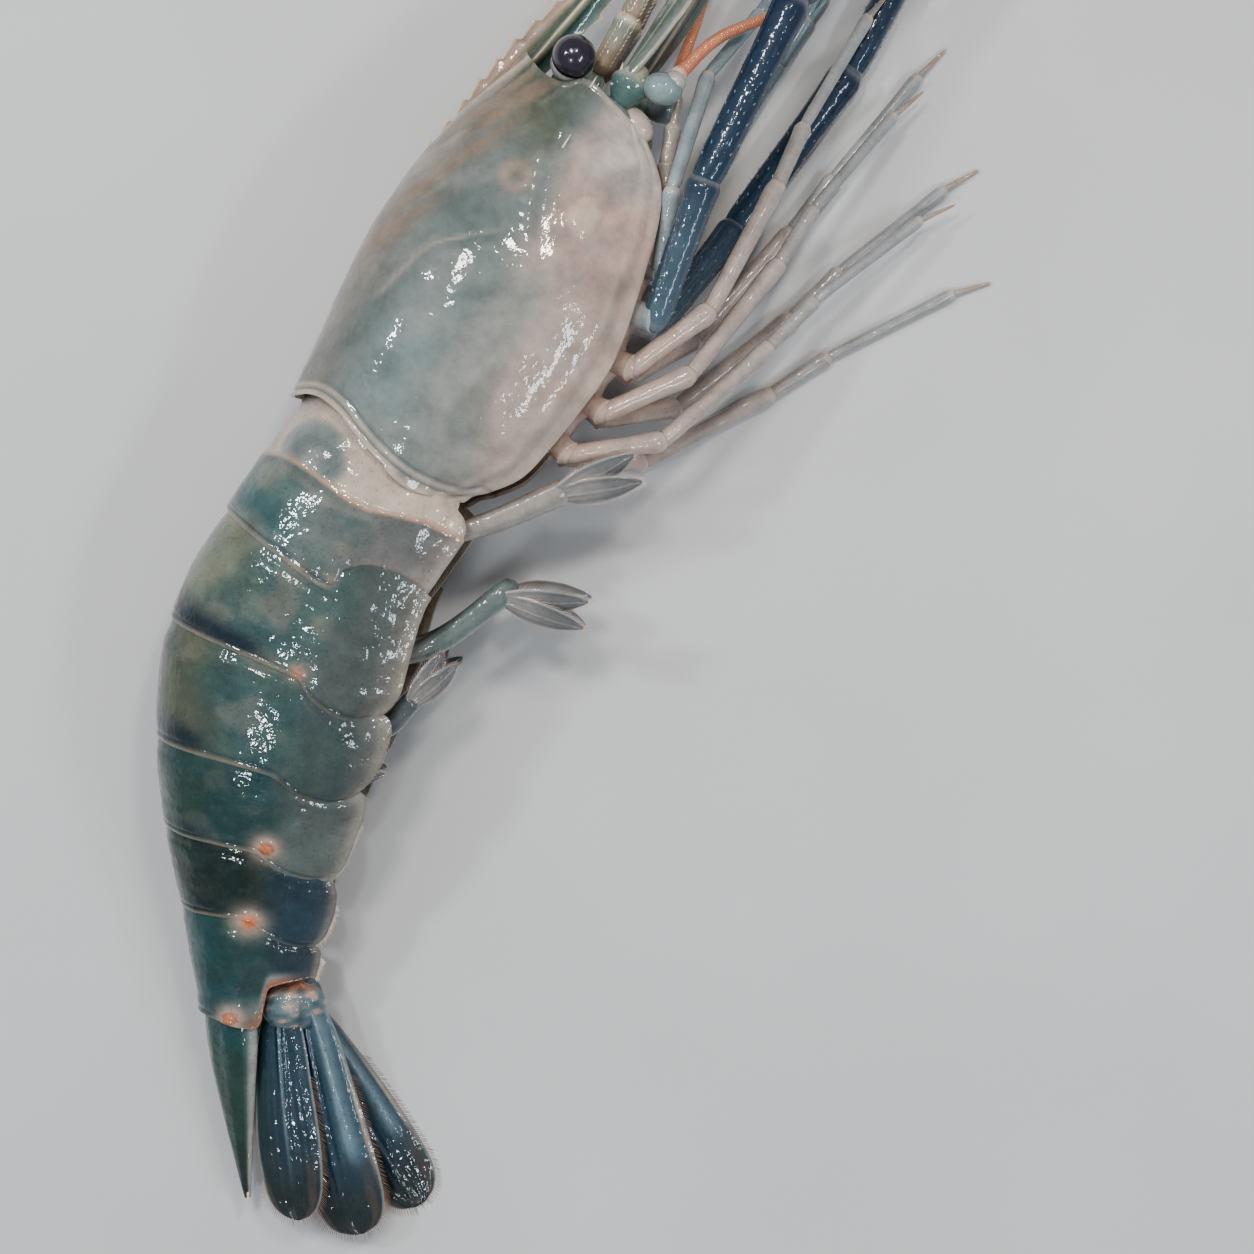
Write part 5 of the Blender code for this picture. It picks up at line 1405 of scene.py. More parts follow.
def make_thorax():
    shape = Shape()
    loops, tints = [], []
    count = 92
    for i in range(count + 1):
        a = THORAX_REAR - 4.0 + (THORAX_FRONT - THORAX_REAR + 7.0) * i / count
        half, roof, shoulder, keel = thorax_levels(min(max(a, THORAX_REAR), THORAX_FRONT))
        end = max(step(-21.0, -25.0, a), step(24.0, 28.0, a))
        bar = 0.35 * math.cos(2 * math.pi * (a - 0.5) / 7.0)
        outline = [(roof + 6, half * 0.9), (roof, half), (shoulder, half), (keel, THORAX_KEEL)]
        right = []
        for k in range(25):
            t = k / 24 * 3
            j = min(int(t), 2)
            (d0, w0), (d1, w1) = outline[j], outline[j + 1]
            d, w = d0 + (d1 - d0) * (t - j), w0 + (w1 - w0) * (t - j)
            right.append((d + end * 2.0 + bar * step(roof, shoulder, d) * -1, w * (1 - 0.4 * end)))
        left = [(d, -w) for d, w in right[::-1]]
        loops.append([body_point(a, d, w) for d, w in right + left])
        tints.append(blend(FLESH, PINK, 0.5 + 0.5 * bar))
    shape.rings(loops, tints)
    shape.finish("thorax_floor", "leg_shell", "thorax")


def leg_root(a, w, side):
    """Point and outward direction on the thorax floor where a leg starts."""
    half, _, _, _ = thorax_levels(a)
    share = (w - THORAX_KEEL) / (half - THORAX_KEEL)
    here = thorax_facet(a, share)
    ahead = thorax_facet(a + 1.5, share) - thorax_facet(a - 1.5, share)
    across = thorax_facet(a, min(share + 0.2, 1)) - thorax_facet(a, share - 0.2)
    normal = across.cross(ahead).normalized()
    if normal.dot(body_frame(a)[2]) > 0:
        normal = -normal
    start = here + normal * (GAP + 0.1)
    if side < 0:
        middle = body_point(a, 0, 0).z
        start = Vector((start.x, start.y, 2 * middle - start.z))
        normal = Vector((normal.x, normal.y, -normal.z))
    return start, normal


def limb_joints(start, normal, coxa, lengths, headings, heights):
    joints = [start, start + normal * coxa]
    for length, heading, height in zip(lengths, headings, heights):
        here = joints[-1]
        fall = height - here.z
        level = math.sqrt(max(length * length - fall * fall, 0.01))
        turn = math.radians(heading)
        joints.append(Vector((here.x + math.cos(turn) * level, here.y + math.sin(turn) * level, height)))
    return joints


ARTICLE_SHARES = (0.0, 0.05, 0.12, 0.25, 0.5, 0.75, 0.88, 0.95, 1.0)
ARTICLE_SWELL = (0.66, 0.84, 0.92, 0.93, 0.95, 0.98, 1.05, 1.08, 0.90)


def article(shape, near, far, radius, tones, sides=16, end_share=1.0, tuck=0.5):
    """One hard length of a limb: narrow at its root, swollen at its far joint."""
    line = (far - near).normalized()
    near = near - line * tuck * radius
    keys = [near.lerp(far, s) for s in ARTICLE_SHARES]
    swell = [radius * r * (1 + (end_share - 1) * s) for r, s in zip(ARTICLE_SWELL, ARTICLE_SHARES)]
    points, sizes = resample(keys, swell, 33)
    shades = []
    for i in range(33):
        t = i / 32
        shade = blend(tones[0], tones[1], t)
        shades.append(blend(shade, tones[2], 0.5 * bell(t, 0.97, 0.05) + 0.3 * bell(t, 0.02, 0.04)))
    points = [lifted(p, r * RESTING) for p, r in zip(points, sizes)]
    shape.tube(points, sizes, shades, sides)


def make_legs():
    for name, leg in LEGS.items():
        for label, side in SIDES:
            start, normal = leg_root(*leg["root"], side)
            headings, heights = leg[label]
            coxa = leg.get("coxa", COXA_LENGTH)
            joints = limb_joints(start, normal, coxa, leg["lengths"], headings, heights)
            shape = Shape()
            first = name == "pereopod_1"
            for i, (near, far) in enumerate(zip(joints, joints[1:])):
                along = i / (len(joints) - 2)
                tone = blend(blend(PINK, TAN, 0.35), blend(PALE_BLUE, SMOKE, 0.35), 0.85 * along)
                if first:
                    tone = blend(blend(PALE_BLUE, ROSE, 0.3), blend(PALE_BLUE, STEEL, 0.4), along)
                tones = (tone, blend(tone, PALE_BLUE, 0.25), blend(CREAM, SALMON, 0.3))
                if i == len(joints) - 2:
                    if first:
                        pincer(shape, near, far, leg["radii"][i], tones)
                    else:
                        article(shape, near, far, leg["radii"][i], (tone, TAN, CREAM), end_share=0.25)
                else:
                    article(shape, near, far, leg["radii"][i], tones)
            shape.finish(f"walking_leg_{name[-1]}_{label}", "leg_shell", f"{name}_{label}")


def pincer(shape, near, far, radius, tones):
    """The two small fingers at the end of the first leg."""
    line = (far - near).normalized()
    level = Vector((-line.y, line.x, 0)).normalized()
    for side in (1, -1):
        keys = [near + level * radius * 0.3 * side]
        keys.append(near.lerp(far, 0.5) + level * radius * 0.75 * side)
        keys.append(far + level * radius * 0.12 * side)
        points, sizes = resample(keys, [radius * 0.8, radius * 0.6, radius * 0.18], 16)
        shape.tube(points, sizes, tones[1], sides=12)


def make_maxillipeds():
    for label, side in SIDES:
        start, normal = leg_root(*MAXILLIPED_ROOT, side)
        path = [start, start + normal * 1.0] + [body_point(a, d, w * side) for a, d, w in MAXILLIPED_PATH]
        shape = Shape()
        for i, (near, far) in enumerate(zip(path[1:], path[2:])):
            article(shape, near, far, MAXILLIPED_RADII[i + 1], (FLESH, PEARL, CREAM),
                    end_share=0.4 if i == 3 else 1.0)
        shape.tube([start - normal, path[1], path[1] + normal * 0.4], [1.1, 1.3, 1.2], FLESH, sides=16)
        shape.finish(f"maxilliped_limb_{label}", "leg_shell", f"maxilliped_{label}")


CLAW_TONES = (blend(STORM, BLUE, 0.5), BLUE, blend(STEEL, ROSE, 0.3))
GOLDEN_ANGLE = 2.399963
FIXED_FINGER_RADII = (1.5, 1.35, 1.22, 1.1, 1.0, 0.85, 0.65, 0.3)
MOVING_FINGER_RADII = (1.1, 1.22, 1.15, 1.02, 0.92, 0.8, 0.6, 0.28)


def thorns(shape, near, far, radius, count, seed):
    """Rows of small spines that lean forward along a limb."""
    line = (far - near).normalized()
    across, other = side_axes(line)
    for i in range(count):
        t = (i + 0.5) / count
        turn = (i * GOLDEN_ANGLE + seed) % (2 * math.pi)
        out = across * math.cos(turn) + other * math.sin(turn)
        base = near.lerp(far, 0.06 + 0.88 * t) + out * radius * 0.88
        if base.z < 0.7:
            continue
        tip = base + out * 0.34 + line * 0.42
        shape.spike(base, tip, 0.17, blend(STEEL, PALE_BLUE, 0.4), sides=5)


def make_claws():
    upper_tones = (
        (FLESH, PALE_BLUE, CREAM),
        (blend(PALE_BLUE, STORM, 0.75), CLAW_TONES[1], CLAW_TONES[2]),
        CLAW_TONES,
    )
    for label, side in SIDES:
        start, normal = leg_root(*CLAW_ROOT, side)
        headings, heights = CLAW_HEADINGS[label], CLAW_HEIGHTS[label]
        joints = limb_joints(start, normal, CLAW_COXA, CLAW_LENGTHS, headings, heights)
        arm = Shape()
        for k, tones in enumerate(upper_tones):
            article(arm, joints[k], joints[k + 1], CLAW_RADII[k], tones, sides=24)
        for k, count, seed in ((1, 60, 0.3), (2, 110, 1.1)):
            thorns(arm, joints[k], joints[k + 1], CLAW_RADII[k], count, seed)
        arm.finish(f"claw_upper_{label}", "claw_shell", f"claw_arm_{label}")
        wrist = Shape()
        article(wrist, joints[3], joints[4], CLAW_RADII[3], CLAW_TONES, sides=24)
        thorns(wrist, joints[3], joints[4], CLAW_RADII[3], 150, 2.0)
        wrist.finish(f"claw_carpus_{label}", "claw_shell", f"claw_wrist_{label}")
        make_hand(label, joints)


def claw_finger(shape, path, radii, tone, first, inward, reach, width):
    """One finger of a hand, with pale teeth along its inner side."""
    path = [lifted(p, r * 0.95) for p, r in zip(path, radii)]
    points, sizes = resample(path, radii, 48)
    tones = [blend(tone, TAN, 0.8 * step(0.85, 1.0, i / 47)) for i in range(48)]
    shape.tube(points, sizes, tones, sides=20)
    for i in range(first, 44, 5):
        shape.spike(points[i], points[i] + inward * (sizes[i] + reach), width, CREAM)


def make_hand(label, joints):
    wrist, knuckle, tip = joints[4:]
    along = (knuckle - wrist).normalized()
    level = Vector((-along.y, along.x, 0)).normalized()
    reach = (tip - knuckle).normalized()
    length = (tip - knuckle).length
    fixed, moving = [], []
    for i in range(8):
        t = i / 7
        bow = math.sin(math.pi * t) * 1.5
        inner = level * (1.35 * (1 - t) + 0.25 + bow * 0.6)
        fixed.append(knuckle - reach * 1.5 * (1 - t) + reach * length * t - inner)
        moving.append(knuckle + reach * (0.55 + (length - 1.15) * t) + level * (1.25 + 0.5 * t + bow * 1.3))
    hand = Shape()
    article(hand, wrist, knuckle, CLAW_RADII[4], CLAW_TONES, sides=24)
    thorns(hand, wrist, knuckle, CLAW_RADII[4], 130, 0.7)
    claw_finger(hand, fixed, FIXED_FINGER_RADII, CLAW_TONES[0], 6, level, 0.35, 0.32)
    hand.finish(f"claw_palm_{label}", "claw_shell", f"claw_hand_{label}")
    finger = Shape()
    claw_finger(finger, moving, MOVING_FINGER_RADII, CLAW_TONES[1], 8, -level, 0.3, 0.3)
    finger.finish(f"claw_dactyl_{label}", "claw_shell", f"claw_finger_{label}")


# Blades: scales, swimmerets and tail fan

SCALE_PROFILE = (
    (0.0, -1.7, 1.7), (0.1, -2.9, 2.9), (0.3, -4.8, 3.9), (0.55, -4.8, 4.1),
    (0.8, -4.8 * 0.86, 4.1), (0.93, -4.8 * 0.5, 3.9), (1.0, 1.5, 3.0),
)
SWIMMERET_PROFILE = (
    (0.0, -0.7, 0.7), (0.12, -1.2, 1.2), (0.4, -2.2, 2.2), (0.7, -2.0, 1.9), (0.92, -0.9, 0.9),
    (1.0, -0.15, 0.15),
)
# Ridges on a blade: place across at the root and at the tip, height, width, share where it ends
SCALE_RIDGES = ((0.0, 0.2, 0.5, 0.08, 1.2), (0.9, 0.9, 0.35, 0.1, 1.2), (-0.5, -0.4, 0.15, 0.1, 1.2))
SWIMMERET_RIDGES = ((0.0, 0.0, 0.35, 0.12, 1.2),)
ENDOPOD_RIDGES = ((-0.05, 0.0, 0.55, 0.09, 1.2), (0.16, 0.12, 0.4, 0.07, 1.2))
# An inner rib, the thick lobe, and the ridge that ends at the tooth
EXOPOD_RIDGES = ((-0.25, -0.2, 0.4, 0.08, 1.2), (0.36, 0.46, 1.9, 0.27, 0.76), (0.93, 0.93, 0.4, 0.06, 0.8))
BLADE_ROOT = 1.0          # how far a blade starts inside what carries it
TAIL_BLADE_ROOT = 2.4
HAIR_SPACING = 0.38


def squared(along, across, out):
    """Across and outward normal of a blade, at right angles to its length."""
    across = (across - along * across.dot(along)).normalized()
    normal = along.cross(across).normalized()
    return across, -normal if normal.dot(out) < 0 else normal


def leaf(shape, root, along, across, normal, length, profile, thick, bow, ridges, tint, steps=(60, 48)):
    """A thin ribbed leaf with ridges on its top; returns the points along its two edges."""
    shares, lows, highs = (column(profile, k) for k in range(3))
    loops, tints, edges = [], [], []
    for i in range(steps[0] + 1):
        t = i / steps[0]
        t = 1 - (1 - t) ** 1.35
        low, high = smooth(shares, lows, t), smooth(shares, highs, t)
        centre = root + along * length * t + normal * bow * math.sin(math.pi * t)
        wall = thick[0] + (thick[1] - thick[0]) * t
        top, bottom, top_tints, bottom_tints = [], [], [], []
        for k in range(steps[1] + 1):
            x = -1 + 2 * k / steps[1]
            place = low + (high - low) * (x + 1) / 2
            edge = 1 - abs(x) ** 5
            rise = wall * 0.5 * edge + 0.04
            for near, far, height, width, stop in ridges:
                middle = near + (far - near) * t
                rise += height * bell(x, middle, width) * (1 - 0.7 * t) * edge * step(stop, stop - 0.18, t)
            rise += 0.06 * noise.noise(Vector((t * 9, x * 3, length)))
            rise += 0.035 * math.sin(34.0 * x * (1 - 0.25 * t)) * step(0.15, 0.5, t) * edge
            sink = -wall * 0.5 * edge - 0.04
            here = centre + across * place
            high_point, low_point = here + normal * rise, here + normal * sink
            raised = Vector((0, 0, max(0.0, 0.05 - min(low_point.z, high_point.z))))
            top.append(high_point + raised)
            bottom.append(low_point + raised)
            top_tints.append(tint(t, x))
            bottom_tints.append(tint(t, x) * 0.9)
        loops.append(top + bottom[::-1])
        tints.append(top_tints + bottom_tints[::-1])
        edges.append((t, (top[0] + bottom[0]) / 2, (top[-1] + bottom[-1]) / 2))
    shape.rings(loops, tints)
    return edges


def fringe(hair, edges, root, along, normal, length, first, reach, tone, origin):
    """Hairs along a leaf's edges beyond the share first; origin is their place on the unwrap."""
    near_edge = [(t, near) for t, near, _ in edges if t > first]
    far_edge = [(t, far) for t, _, far in edges[::-1] if t > first]
    line = near_edge + far_edge
    middle = root + along * length * 0.6
    count = max(int(sum((q[1] - p[1]).length for p, q in zip(line, line[1:])) / HAIR_SPACING), 4)
    for k in range(count):
        place = k * (len(line) - 1) / count
        j = int(place)
        base = line[j][1].lerp(line[j + 1][1], place - j)
        edge = (line[j + 1][1] - line[j][1]).normalized()
        out = edge.cross(normal)
        if out.dot(base - middle) < 0:
            out = -out
        sway = noise.noise(Vector((k * 1.7, length, 0.3)))
        aim = (out + along * (0.9 + 0.4 * sway) + normal * 0.12 * sway).normalized()
        mark = (origin[0] + 0.2 * k / count, origin[1] + 0.1 * line[j][0])
        hair.bristle(base, base + aim * reach * (0.85 + 0.3 * sway), 0.055, tone, mark)


def scale_tint(t, x):
    tone = blend(blend(SEA, MIST, 0.5), MOSS, 0.4 * step(0.2, 0.8, t))
    tone = blend(tone, CREAM, 0.8 * bell(x, 0.0, 0.06) + 0.6 * bell(x, 0.95, 0.08))
    return blend(tone, PEARL, 0.4 * bell(x, -0.9, 0.2))


def make_scales():
    _, forward, up, out = body_frame(0)
    tilt = math.radians(SCALE_TILT)
    length = SCALE_LENGTH + BLADE_ROOT
    for label, side in SIDES:
        start = body_point(37.4 + GAP, BASICERITE[0] + 1.0, (BASICERITE[1] + 0.9) * side)
        along = (forward - up * 0.02 + out * side * 0.03).normalized()
        across = (out * side * math.cos(tilt) - up * math.sin(tilt)).normalized()
        normal = along.cross(across) * side
        root = start - along * BLADE_ROOT
        shape = Shape()
        edges = leaf(
            shape, root, along, across, normal, length,
            SCALE_PROFILE, (1.1, 0.5), 1.2, SCALE_RIDGES, scale_tint,
        )
        mark = (0.05 if side > 0 else 0.35, 0.05)
        fringe(HAIRS["scale"], edges, root, along, normal, length, 0.25, 1.3, ROSE, mark)
        shape.finish(f"scale_blade_{label}", "carapace_shell", f"antennal_scale_{label}")


# Colour of each pair's stem below its root
STEM_TONES = (blend(FOG, ROSE, 0.3), blend(SMOKE, FOG, 0.3), blend(SLATE, FOG, 0.35), SLATE, SLATE)
STEM_WIDTHS = (1.5, 1.7, 1.1)
STEM_DEPTHS = (1.1, 1.4, 1.6)


def make_pleopods():
    last, sides = 40, 28
    for n in range(5):
        middle = PLEOPOD_ROOT[n]
        roof, _ = abdomen_section(middle, 0.7, 0.0)
        _, forward, up, out = body_frame(middle)
        size = PLEOPOD_SIZE[n]
        for label, side in SIDES:
            w = PLEOPOD_W[n] * side
            keys = [
                body_point(middle - 1.0, roof + 1.5, w),
                body_point(*PLEOPOD_BEND[n], w),
                body_point(*PLEOPOD_END[n], w),
            ]
            points, halves = resample(keys, STEM_WIDTHS, last + 1)
            _, depths = resample(keys, STEM_DEPTHS, last + 1)
            shape = Shape()
            loops, tints = [], []
            for i, centre in enumerate(points):
                t = i / last
                line = (points[min(i + 1, last)] - points[max(i - 1, 0)]).normalized()
                thick = out.cross(line).normalized()
                close = 1 - 0.75 * step(0.96, 1.0, t) ** 2
                tone = blend(blend(ROSE, STEM_TONES[n], 0.3), STEM_TONES[n], step(0.15, 0.6, t))
                ring, tones = [], []
                for k in range(sides):
                    turn = 2 * math.pi * k / sides
                    rib = bell(turn, 1.5 * math.pi, 0.3)
                    keel = 1 + 0.16 * rib + 0.10 * bell(turn, 0.6, 0.3)
                    across = math.cos(turn) * halves[i] * size * close
                    deep = math.sin(turn) * depths[i] * size * close
                    ring.append(centre + out * across * keel + thick * deep * keel)
                    # the rib is raised in the shape; its pale colour is a painted highlight
                    tones.append(blend(tone, blend(PALE_BLUE, CREAM, 0.3), 0.6 * rib))
                loops.append(ring)
                tints.append(tones)
            shape.rings(loops, tints)
            blades(shape, n, points[-1].lerp(points[-8], 0.45), forward, up, out, side)
            shape.finish(f"swimmeret_{n + 1}_{label}", "swimmeret", f"pleopod_{n + 1}_{label}")


def blade_tint(t, x):
    tone = blend(blend(FOG, ROSE, 0.3), SLATE, 0.6 * step(0.1, 0.9, t))
    tone = blend(tone, STORM, 0.35 * step(0.2, 0.9, math.sin(9.0 * x + 1.0)))
    rims = 0.4 * bell(x, 0.0, 0.08) + 0.5 * bell(abs(x), 0.96, 0.06)
    return blend(tone, blend(PALE_BLUE, CREAM, 0.5), rims)


def blades(shape, n, start, forward, up, out, side):
    """The two blades at the end of a swimmeret's stem."""
    size = PLEOPOD_SIZE[n]
    length = PLEOPOD_BLADE[n] + BLADE_ROOT
    profile = [(s, low * size, high * size) for s, low, high in SWIMMERET_PROFILE]
    mark = (0.05 + 0.15 * n, 0.2 if side > 0 else 0.6)
    for turn, drift in ((PLEOPOD_BLADE_SWING[n], 0.06), (PLEOPOD_BLADE_SWING[n] - 18.0, -0.06)):
        swing = math.radians(turn)
        along = (-up * math.cos(swing) + forward * math.sin(swing) + out * side * drift).normalized()
        across = (forward * math.cos(swing) + up * math.sin(swing) + out * side * 0.8).normalized()
        across, normal = squared(along, across, out)
        root = start - along * BLADE_ROOT
        edges = leaf(
            shape, root, along, across, normal, length,
            profile, (0.9, 0.35), 0.4, SWIMMERET_RIDGES, blade_tint, steps=(36, 24),
        )
        fringe(HAIRS["swimmeret"], edges, root, along, normal, length, 0.25, 0.9 * size, ROSE, mark)


# Shares of the telson's length where its small spines stand
TELSON_SPINES = (0.45, 0.70, 0.97)


def telson_tint(t):
    tone = blend(LAGOON, PINE, step(0.0, 0.3, t)) * 0.8
    return blend(tone, blend(INK, PLUM, 0.35), 0.8 * step(0.5, 1.0, t))


def telson_at(share):
    """Height of the middle, half width and thickness of the telson, as shares."""
    shares = column(TELSON_STATIONS, 0)
    return [smooth(shares, column(TELSON_STATIONS, k), share) for k in (1, 2, 3)]


def make_telson():
    shape = Shape()
    front, turn = -JOINT_LINES[6][-3][1], math.radians(TELSON_ROLL)
    loops, tints = [], []
    for i in range(61):
        share = i / 60
        middle, half, high = telson_at(share)
        ring, line = [], []
        for k in range(40):
            angle = 2 * math.pi * k / 40
            rise = middle + math.sin(angle) * high * (TELSON_CREST if math.sin(angle) > 0 else TELSON_KEEL)
            side = math.cos(angle) * TELSON_HALF_WIDTH * half
            groove = 0.25 * bell(angle, math.pi / 2, 0.22) * (1 - share)
            edge = JOINTS[6] - joint_line(6, rise * math.cos(turn) - side * math.sin(turn))
            back = front + (TELSON_END - front) * share
            back += (edge - 0.4 - front) * step(0.25, 0.0, share)
            ring.append(tail_point(back, rise - groove, side, TELSON_ROLL))
            rim = 0.6 * bell(abs(math.cos(angle)), 1.0, 0.08)
            line.append(blend(telson_tint(share), blend(CREAM, PALE_BLUE, 0.5), rim))
        loops.append(ring)
        tints.append(line)
    shape.rings(loops, tints)
    for share in TELSON_SPINES:
        middle, half, _ = telson_at(share)
        for _, side in SIDES:
            back = front + (TELSON_END - front) * share
            w = half * TELSON_HALF_WIDTH * 0.8 * side
            base = tail_point(back, middle + 0.3, w, TELSON_ROLL)
            tip = tail_point(back + 1.7, middle + 0.4, w, TELSON_ROLL)
            shape.spike(base, tip, 0.22, CREAM)
    shape.finish("telson_blade", "tail_shell", "telson")


def dark_tip(tone, t, x):
    """The colour of a tail blade with its dark end and brown spots."""
    tone = blend(tone, blend(INK, PLUM, 0.25), 0.9 * step(0.58, 0.92, t))
    patch = noise.noise(Vector((2.2 * x, 5.0 * t, 0.7)))
    return blend(tone, blend(UMBER, PLUM, 0.7), 0.4 * step(0.6, 0.9, t) * step(0.0, 0.4, patch))


def pale_rim(tone, x):
    return blend(tone, blend(CREAM, PALE_BLUE, 0.6), 0.45 * bell(abs(x), 0.98, 0.04))


def endopod_tint(t, x):
    tone = blend(STORM, blend(SLATE, STORM, 0.5), step(0.2, 0.6, t)) * 0.75
    tone = dark_tip(blend(tone, INK, 0.6 * step(-0.2, -0.8, x)), t, x)
    tone = blend(tone, PALE_BLUE, 0.4 * bell(x, 0.0, 0.045) * step(0.9, 0.5, t))
    return pale_rim(tone, x)


def exopod_tint(t, x):
    tone = blend(blend(STEEL, STORM, 0.4), STORM, step(0.0, 0.3, t))
    tone = blend(tone, NAVY, 0.7 * step(-0.2, -0.6, x))
    lobe = bell(x, 0.36 + 0.10 * t, 0.27) * step(0.74, 0.6, t)
    tone = blend(tone, blend(STEEL, PALE_BLUE, 0.35), 0.9 * lobe)
    tone = blend(tone, blend(TAN, CREAM, 0.4), 0.7 * bell(x, 0.9, 0.05) * bell(t, 0.5, 0.25))
    return pale_rim(dark_tip(tone, t, x), x)


def foot_tint(back, rise, side):
    """Orange and bluish grey patches of the tail blades' foot; rise runs from -1 below to 1 above."""
    tone = blend(blend(ORANGE, SMOKE, 0.6), blend(SMOKE, STEEL, 0.5), step(-0.9, 0.4, back))
    tone = blend(tone, blend(ROSE, CREAM, 0.3), 0.45 * bell(rise, 0.1, 0.3) * bell(back, 2.0, 1.2))
    spot = noise.noise(Vector((back * 1.1, rise * 2.4, side * 3.0)))
    tone = blend(tone, blend(ORANGE, CREAM, 0.5), 0.55 * step(0.12, 0.4, spot))
    tone = blend(tone, DEEP_SEA, 0.5 * step(0.1, 0.4, -spot))
    return blend(tone, SLATE, 0.6 * bell(rise, -0.15, 0.12) * step(0.5, 2.5, back))


def make_foot(label, side):
    """The block that carries one side's two tail blades, with its hook."""
    middle = UROPODS[label]["base"]
    keys, highs, deeps = (column(UROPOD_BASE, k) for k in range(3))
    foot = Shape()
    loops, tints = [], []
    for i in range(37):
        back = -1.6 + 7.6 * i / 36
        high, deep = smooth(keys, highs, back), smooth(keys, deeps, back)
        end = min(1.0, abs((back - 2.2) / 3.9))
        shrink = math.sqrt(max(1 - end ** 3.2, 0.02))
        ring, line = [], []
        for k in range(40):
            turn = 2 * math.pi * k / 40
            rise = math.sin(turn)
            fold = 0.16 * bell(rise, -0.15, 0.14) * step(0.5, 2.5, back)
            d = UROPOD_BASE_HEIGHT + rise * (high + 0.25) * shrink
            w = middle + math.cos(turn) * (deep + 0.5 - 2 * fold) * shrink
            ring.append(tail_point(back, d, w))
            line.append(foot_tint(back, rise, side))
        loops.append(ring)
        tints.append(line)
    foot.rings(loops, tints)
    hook = []
    for k in range(12):
        turn = math.radians(20 + 17 * k)
        back, d = 4.4 + 0.75 * math.cos(turn), -7.6 + 0.95 * math.sin(turn)
        hook.append(tail_point(back, d, middle + 1.85 * side))
    foot.tube(hook, [0.2 + 0.012 * k for k in range(12)], blend(TAN, SMOKE, 0.35), sides=10)
    knob = tail_point(2.2, -5.4, middle + 2.2 * side)
    foot.ball(knob, 0.5, blend(ORANGE, SMOKE, 0.45), segments=16)
    foot.finish(f"uropod_foot_{label}", "tail_shell", f"uropod_base_{label}")


def make_uropods():
    _, _, up, out = body_frame(JOINTS[6])
    kinds = (
        ("endopod", ENDOPOD_PROFILE, ENDOPOD_RIDGES, endopod_tint),
        ("exopod", EXOPOD_PROFILE, EXOPOD_RIDGES, exopod_tint),
    )
    for label, side in SIDES:
        make_foot(label, side)
        for order, (kind, profile, ridges, tint) in enumerate(kinds):
            root_place, tip_place, lean = UROPODS[label][kind]
            start, tip = tail_point(*root_place), tail_point(*tip_place)
            along = (tip - start).normalized()
            turn = math.radians(lean)
            across, normal = squared(along, -up * math.cos(turn) + out * math.sin(turn), out)
            length = (tip - start).length + TAIL_BLADE_ROOT
            root = start - along * TAIL_BLADE_ROOT
            shape = Shape()
            edges = leaf(
                shape, root, along, across, normal, length,
                profile, (1.4, 0.5), 0.8, ridges, tint,
            )
            mark = (0.04 + 0.24 * (order + (0 if side > 0 else 2)), 0.3)
            tone = blend(TAN, PLUM, 0.4)
            fringe(HAIRS["tail"], edges, root, along, normal, length, 0.3, 1.5, tone, mark)
            shape.finish(f"uropod_{kind}_blade_{label}", "tail_shell", f"uropod_{kind}_{label}")


# Stage

FLOOR_SIZE = 8.0
SKY = {"Color": (0.84, 0.87, 0.92, 1), "Strength": 0.42}
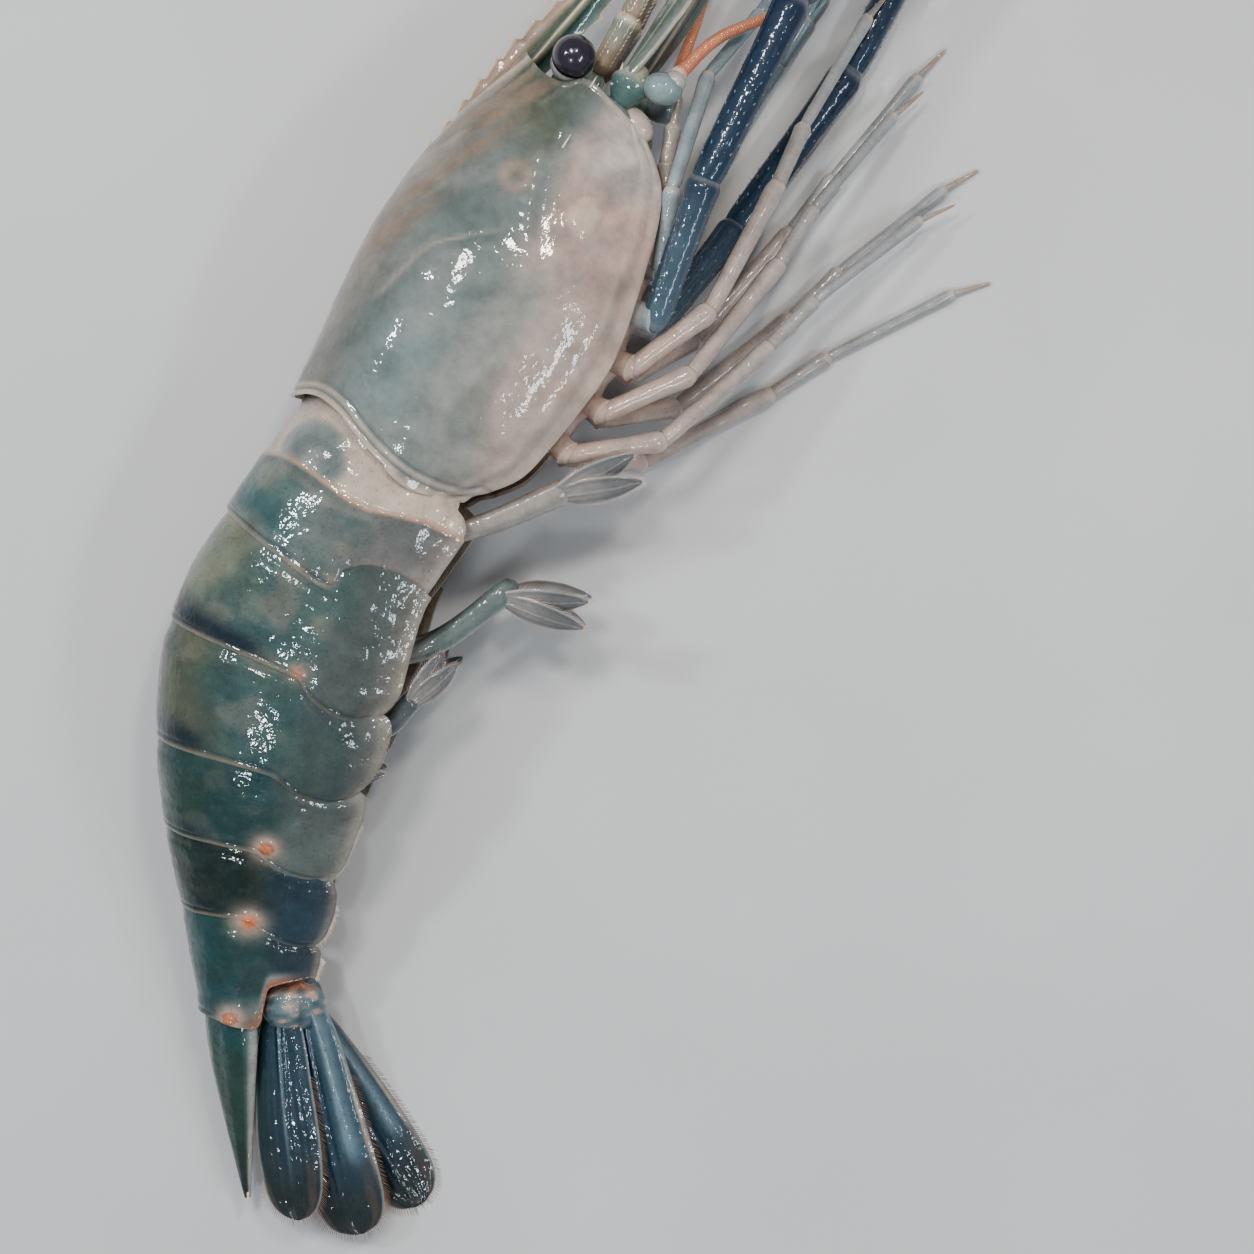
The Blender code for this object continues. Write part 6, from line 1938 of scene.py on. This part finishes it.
# Lamps: name, place, sizes in metres, power and colour
LAMPS = (
    ("overhead", (-0.16, 0.26, 0.80), (0.12, 0.12), 2.1, (1.0, 0.98, 0.95)),
    ("dorsal_strip", (-0.34, 0.12, 0.42), (0.05, 0.06), 0.8, (0.88, 0.95, 1.0)),
    ("belly_strip", (0.30, -0.15, 0.38), (0.04, 0.22), 0.55, (0.86, 0.93, 1.0)),
    ("warm_strip", (0.14, 0.20, 0.52), (0.04, 0.08), 0.75, (1.0, 0.90, 0.78)),
    ("tail_strip", (-0.13, -0.24, 0.50), (0.05, 0.04), 0.45, (0.90, 0.96, 1.0)),
)
LAMP_TARGET = Vector((0.0, 0.0, 0.01))
BODY_LINE = Vector((0.52, 0.85, 0.0))
CAMERA_PLACE = (0.0213, -0.0489, 0.4453)
LENS = 85.0
SENSOR_WIDTH = 36.0


def make_floor():
    bpy.ops.mesh.primitive_plane_add(size=FLOOR_SIZE, location=(0, 0, 0))
    floor = bpy.context.object
    floor.name = "studio_floor"
    n = Nodes("floor_card")
    n.feed({"Base Color": n.ramp(n.noise(14.0, 3.0), [(0.3, grey(0.52)), (0.7, grey(0.56))])})
    n.settle({"Roughness": 0.6})
    floor.data.materials.append(n.material)


def make_lights():
    scene = bpy.context.scene
    scene.view_settings.look = "AgX - Medium High Contrast"
    scene.world = bpy.data.worlds.new("studio")
    scene.world.use_nodes = True
    for name, value in SKY.items():
        scene.world.node_tree.nodes["Background"].inputs[name].default_value = value
    for name, place, size, power, tone in LAMPS:
        light = bpy.data.lights.new(name, "AREA")
        light.shape = "RECTANGLE"
        light.size, light.size_y = size
        light.energy = power
        light.color = tone
        lamp = bpy.data.objects.new(name, light)
        lamp.location = place
        # the lamp faces the model and its long side runs with the body
        back = (Vector(place) - LAMP_TARGET).normalized()
        across = BODY_LINE.cross(back).normalized()
        lamp.rotation_euler = Matrix((across, back.cross(across), back)).transposed().to_euler()
        scene.collection.objects.link(lamp)


def make_camera():
    lens = bpy.data.cameras.new("photo_view")
    lens.lens = LENS
    lens.sensor_width = SENSOR_WIDTH
    lens.clip_start = 0.01
    camera = bpy.data.objects.new("photo_view", lens)
    camera.location = CAMERA_PLACE
    bpy.context.scene.collection.objects.link(camera)
    bpy.context.scene.camera = camera


make_carapace()
make_head()
make_eyes()
make_somites()
make_belly()
make_antennules()
make_antennae()
make_thorax()
make_legs()
make_maxillipeds()
make_claws()
make_scales()
make_pleopods()
make_telson()
make_uropods()
make_hairs()
make_floor()
make_lights()
make_camera()
